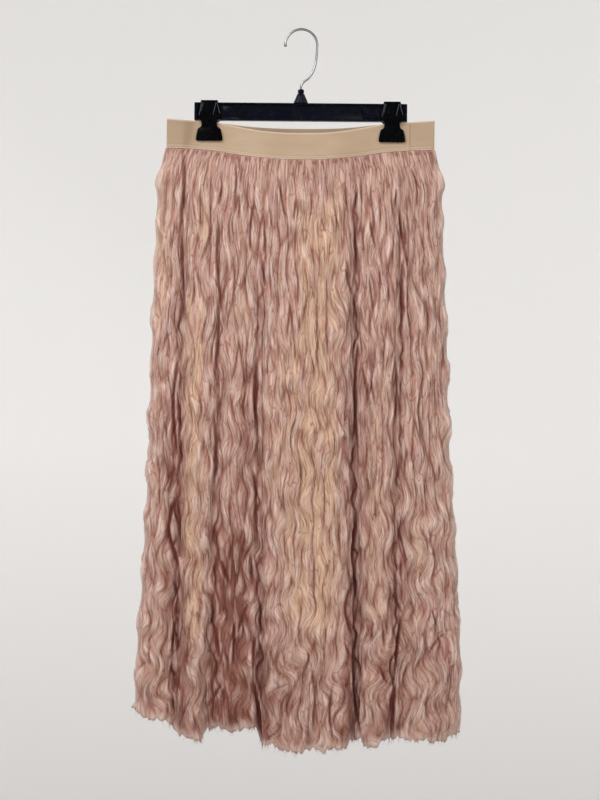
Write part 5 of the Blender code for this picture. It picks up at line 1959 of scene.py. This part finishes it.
# %% [markdown]
# ## The clips
#
# Each clip has a jaw in front and one behind, joined over the bar. The jaw is a broad pad that holds the
# elastic, a narrow waist and a flared handle with raised ribs in the shape of a V. A cube is laid at the foot
# of the pad and extruded upwards level by level, then widened or narrowed at each level, as a potter pulls up
# a wall. The back jaw is the same turned round.

# %% Clips
CLIP_CENTRE = 131.3
CLIP_ARM = 2.8
# height, half width, distance of the inner face from the mid plane
CLIP_LEVELS = (
    (-160.4, 17.2, 2.4), (-159, 19.1, 2.3), (-154, 18.7, 2.3), (-148, 17.5, 2.3), (-143.8, 16.5, 2.3),
    (-142.3, 14.8, 2.3), (-140.9, 12.4, 2.5), (-139.2, 11.4, 2.9), (-136, 11, 3.5), (-132.6, 11.4, 4),
    (-130.2, 14.6, 4.8), (-129, 17.2, 4.8), (-118, 15.4, 4.8), (-106, 12.8, 4.8), (-105, 12.4, 4.8),
)
CLIP_REACH = CLIP_LEVELS[-1][2] + CLIP_ARM
PAD_START = 0.2
SADDLE_TOP = -102.4
SADDLE_INSET = 1.0
SADDLE_SEAT = 0.3
SADDLE_HALF_WIDTH = 12.2
# place from the clip's middle and height of both ends, half width, how far it stands out
CLIP_RIBS = (
    (-10.8, -106.2, -14.4, -124.5, 0.55, 0.8), (10.8, -106.2, 15.4, -122, 0.55, 0.8),
    (9.6, -106.2, 5.6, -123.5, 0.50, 0.8), (-8.6, -106.2, -12, -119, 0.40, 0.6),
)


def build_jaw(centre, sign):
    """One jaw: its levels extruded up from the foot of the pad."""
    height, half, inner = CLIP_LEVELS[0]
    low, high = sorted((sign * inner, sign * (inner + CLIP_ARM)))
    level = height + PAD_START
    jaw = cube_between("jaw", (centre - half, low, height), (centre + half, high, level))
    edit(jaw)
    for next_height, next_half, next_inner in CLIP_LEVELS[1:]:
        pick_faces(jaw, lambda at, normal: normal.z > 0.5 and at.z > level - 0.3)
        extrude(deep=sign * (next_inner - inner), up=next_height - level)
        grow = next_half / half
        bpy.ops.transform.resize(value=(grow, 1.0, 1.0), center_override=(centre * MM, 0.0, 0.0))
        level, half, inner = next_height, next_half, next_inner
    done()
    soften(jaw, 0.7, 3)
    parts = [jaw]
    face = sign * CLIP_REACH
    for top_x, top, foot_x, foot, rib_half, out in CLIP_RIBS:
        length = ((foot_x - top_x) ** 2 + (foot - top) ** 2) ** 0.5
        low, high = sorted((face - sign * 0.3, face + sign * out))
        rib = cube_between("rib", (-rib_half, low, -length / 2.0), (rib_half, high, length / 2.0))
        turn = atan2(foot_x - top_x, top - foot)
        rib.rotation_euler = (0.0, -turn, 0.0)
        rib.location = ((centre + (top_x + foot_x) / 2.0) * MM, 0.0, (top + foot) / 2.0 * MM)
        only(rib)
        bpy.ops.object.transform_apply(location=True, rotation=True, scale=True)
        soften(rib, 0.3)
        # The ribs of the clips get the full painted highlight.
        rib_highlight = rib.data.attributes.new("rib_highlight", "FLOAT", "POINT")
        rib_highlight.data.foreach_set("value", [1.0] * len(rib.data.vertices))
        parts.append(rib)
    return parts


def build_clip(name, centre):
    parts = []
    for sign in (-1.0, 1.0):
        parts += build_jaw(centre, sign)
    saddle = cube_between(
        "saddle",
        (centre - SADDLE_HALF_WIDTH, -CLIP_REACH + SADDLE_INSET, CLIP_LEVELS[-1][0] - SADDLE_SEAT),
        (centre + SADDLE_HALF_WIDTH, CLIP_REACH - SADDLE_INSET, SADDLE_TOP),
    )
    parts.append(soften(saddle, 0.8, 3))
    return join(parts, name)


clips = {
    "clip_left": build_clip("clip_left_moulded", -CLIP_CENTRE),
    "clip_right": build_clip("clip_right_moulded", CLIP_CENTRE),
}
print("clips", {name: len(piece.data.polygons) for name, piece in clips.items()})

# %% [markdown]
# ## The hook
#
# The hook is steel wire bent in one plane. A disc with the wire's section is laid at the tip, spun round the
# middle of the bow, and then extruded step by step down the bent stem, turning each ring as it goes. The tip
# has a small bead so that it doesn't snag.

# %% Hook
WIRE_RADIUS = 1.7
HOOK_RADIUS = 22.9
HOOK_CENTRE = WIRE_RADIUS - HOOK_RADIUS
HOOK_TIP = 180.0
HOOK_RIGHT = -8.0
WIRE_SIDES = 20
BEAD = ((-2.2, 0.9), (-1.9, 1.7), (-1.1, 2.3), (0.0, 2.4), (1.0, 2.15), (1.9, 1.7))
# across, height: the stem of the wire from the bow to the neck
HOOK_STEM = (
    (20.7, -46.3), (15.8, -61.3), (9.6, -69.3), (1.9, -76), (0, -81), (0, -84.7),
)
STEM_STEPS = 6
BOW_STEPS = 40


def stem_route():
    """Points down the stem, on a smooth curve through its rows."""
    knots = []
    for angle in (HOOK_RIGHT + 11.75, HOOK_RIGHT):
        turn = radians(angle)
        knots.append((HOOK_RADIUS * cos(turn), HOOK_CENTRE + HOOK_RADIUS * sin(turn)))
    knots += list(HOOK_STEM)
    steps = np.linalg.norm(np.diff(np.array(knots), axis=0), axis=1)
    places = np.concatenate(([0.0], np.cumsum(steps)))
    at = np.concatenate([
        np.linspace(start, end, STEM_STEPS + 1)[1:] for start, end in zip(places[1:], places[2:])
    ])
    return [knots[1]] + list(zip(
        curve_through(places, [knot[0] for knot in knots], at),
        curve_through(places, [knot[1] for knot in knots], at),
    ))


def build_hook():
    clear_selection()
    tip = (HOOK_RADIUS * cos(radians(HOOK_TIP)), HOOK_CENTRE + HOOK_RADIUS * sin(radians(HOOK_TIP)))
    along, radius = BEAD[0]
    bpy.ops.mesh.primitive_circle_add(
        vertices=WIRE_SIDES, radius=radius * MM, fill_type="NGON",
        location=(tip[0] * MM, 0.0, (tip[1] + along) * MM),
    )
    hook = bpy.context.object
    bpy.ops.object.transform_apply(location=True)
    edit(hook)
    bpy.ops.mesh.select_all(action="SELECT")
    centre_x = tip[0] * MM
    for next_along, next_radius in BEAD[1:]:
        extrude(up=next_along - along)
        grow = next_radius / radius
        bpy.ops.transform.resize(value=(grow, grow, 1.0), center_override=(centre_x, 0.0, 0.0))
        along, radius = next_along, next_radius
    start_turn = along / HOOK_RADIUS
    bpy.ops.mesh.spin(
        steps=BOW_STEPS, angle=start_turn - radians(HOOK_TIP - HOOK_RIGHT),
        center=(0.0, 0.0, HOOK_CENTRE * MM), axis=(0.0, 1.0, 0.0),
    )
    route = stem_route()
    heading = radians(HOOK_RIGHT - 90.0)
    for (x, z), (next_x, next_z) in zip(route, route[1:]):
        following = atan2(next_z - z, next_x - x)
        extrude(across=next_x - x, up=next_z - z)
        bpy.ops.transform.rotate(
            value=following - heading, orient_axis="Y", orient_type="GLOBAL",
            center_override=(next_x * MM, 0.0, next_z * MM),
        )
        heading = following
    bpy.ops.mesh.select_all(action="SELECT")
    bpy.ops.mesh.normals_make_consistent(inside=False)
    done()
    hook.name = "hanger_hook_wire"
    bpy.ops.object.shade_smooth_by_angle(angle=radians(40.0))
    return hook


hook = build_hook()
print("hook", len(hook.data.polygons), "faces")

# %% [markdown]
# ## Every piece on the body
#
# Every piece rides on the one body, and the solids of the frame that it covers are hidden. The pieces of the
# hanger get their finishes here. The panels are far wider when their pleats are pressed out than they hang.

for piece in (bar, neck, *clips.values()):
    piece.data.materials.clear()
    piece.data.materials.append(CLIP_PLASTIC if piece in clips.values() else PLASTIC)
    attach(piece, "root")
hook.data.materials.clear()
hook.data.materials.append(STEEL)
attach(hook, "root")
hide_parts("hanger_bar")
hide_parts("hanger_neck")
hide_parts("hanger_hook")
for node, piece in clips.items():
    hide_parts(node)
for side in ("front", "back"):
    for piece, slot in (
        (panels[side], "crinkle_chiffon"), (threads[side], "crinkle_chiffon"), (linings[side], "lining"),
    ):
        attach(piece, "root")
    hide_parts("skirt_" + side)
    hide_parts("lining_" + side)
for piece, slot in ((waistband, "elastic"), (stitches, "elastic")):
    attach(piece, "root")
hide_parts("waistband")
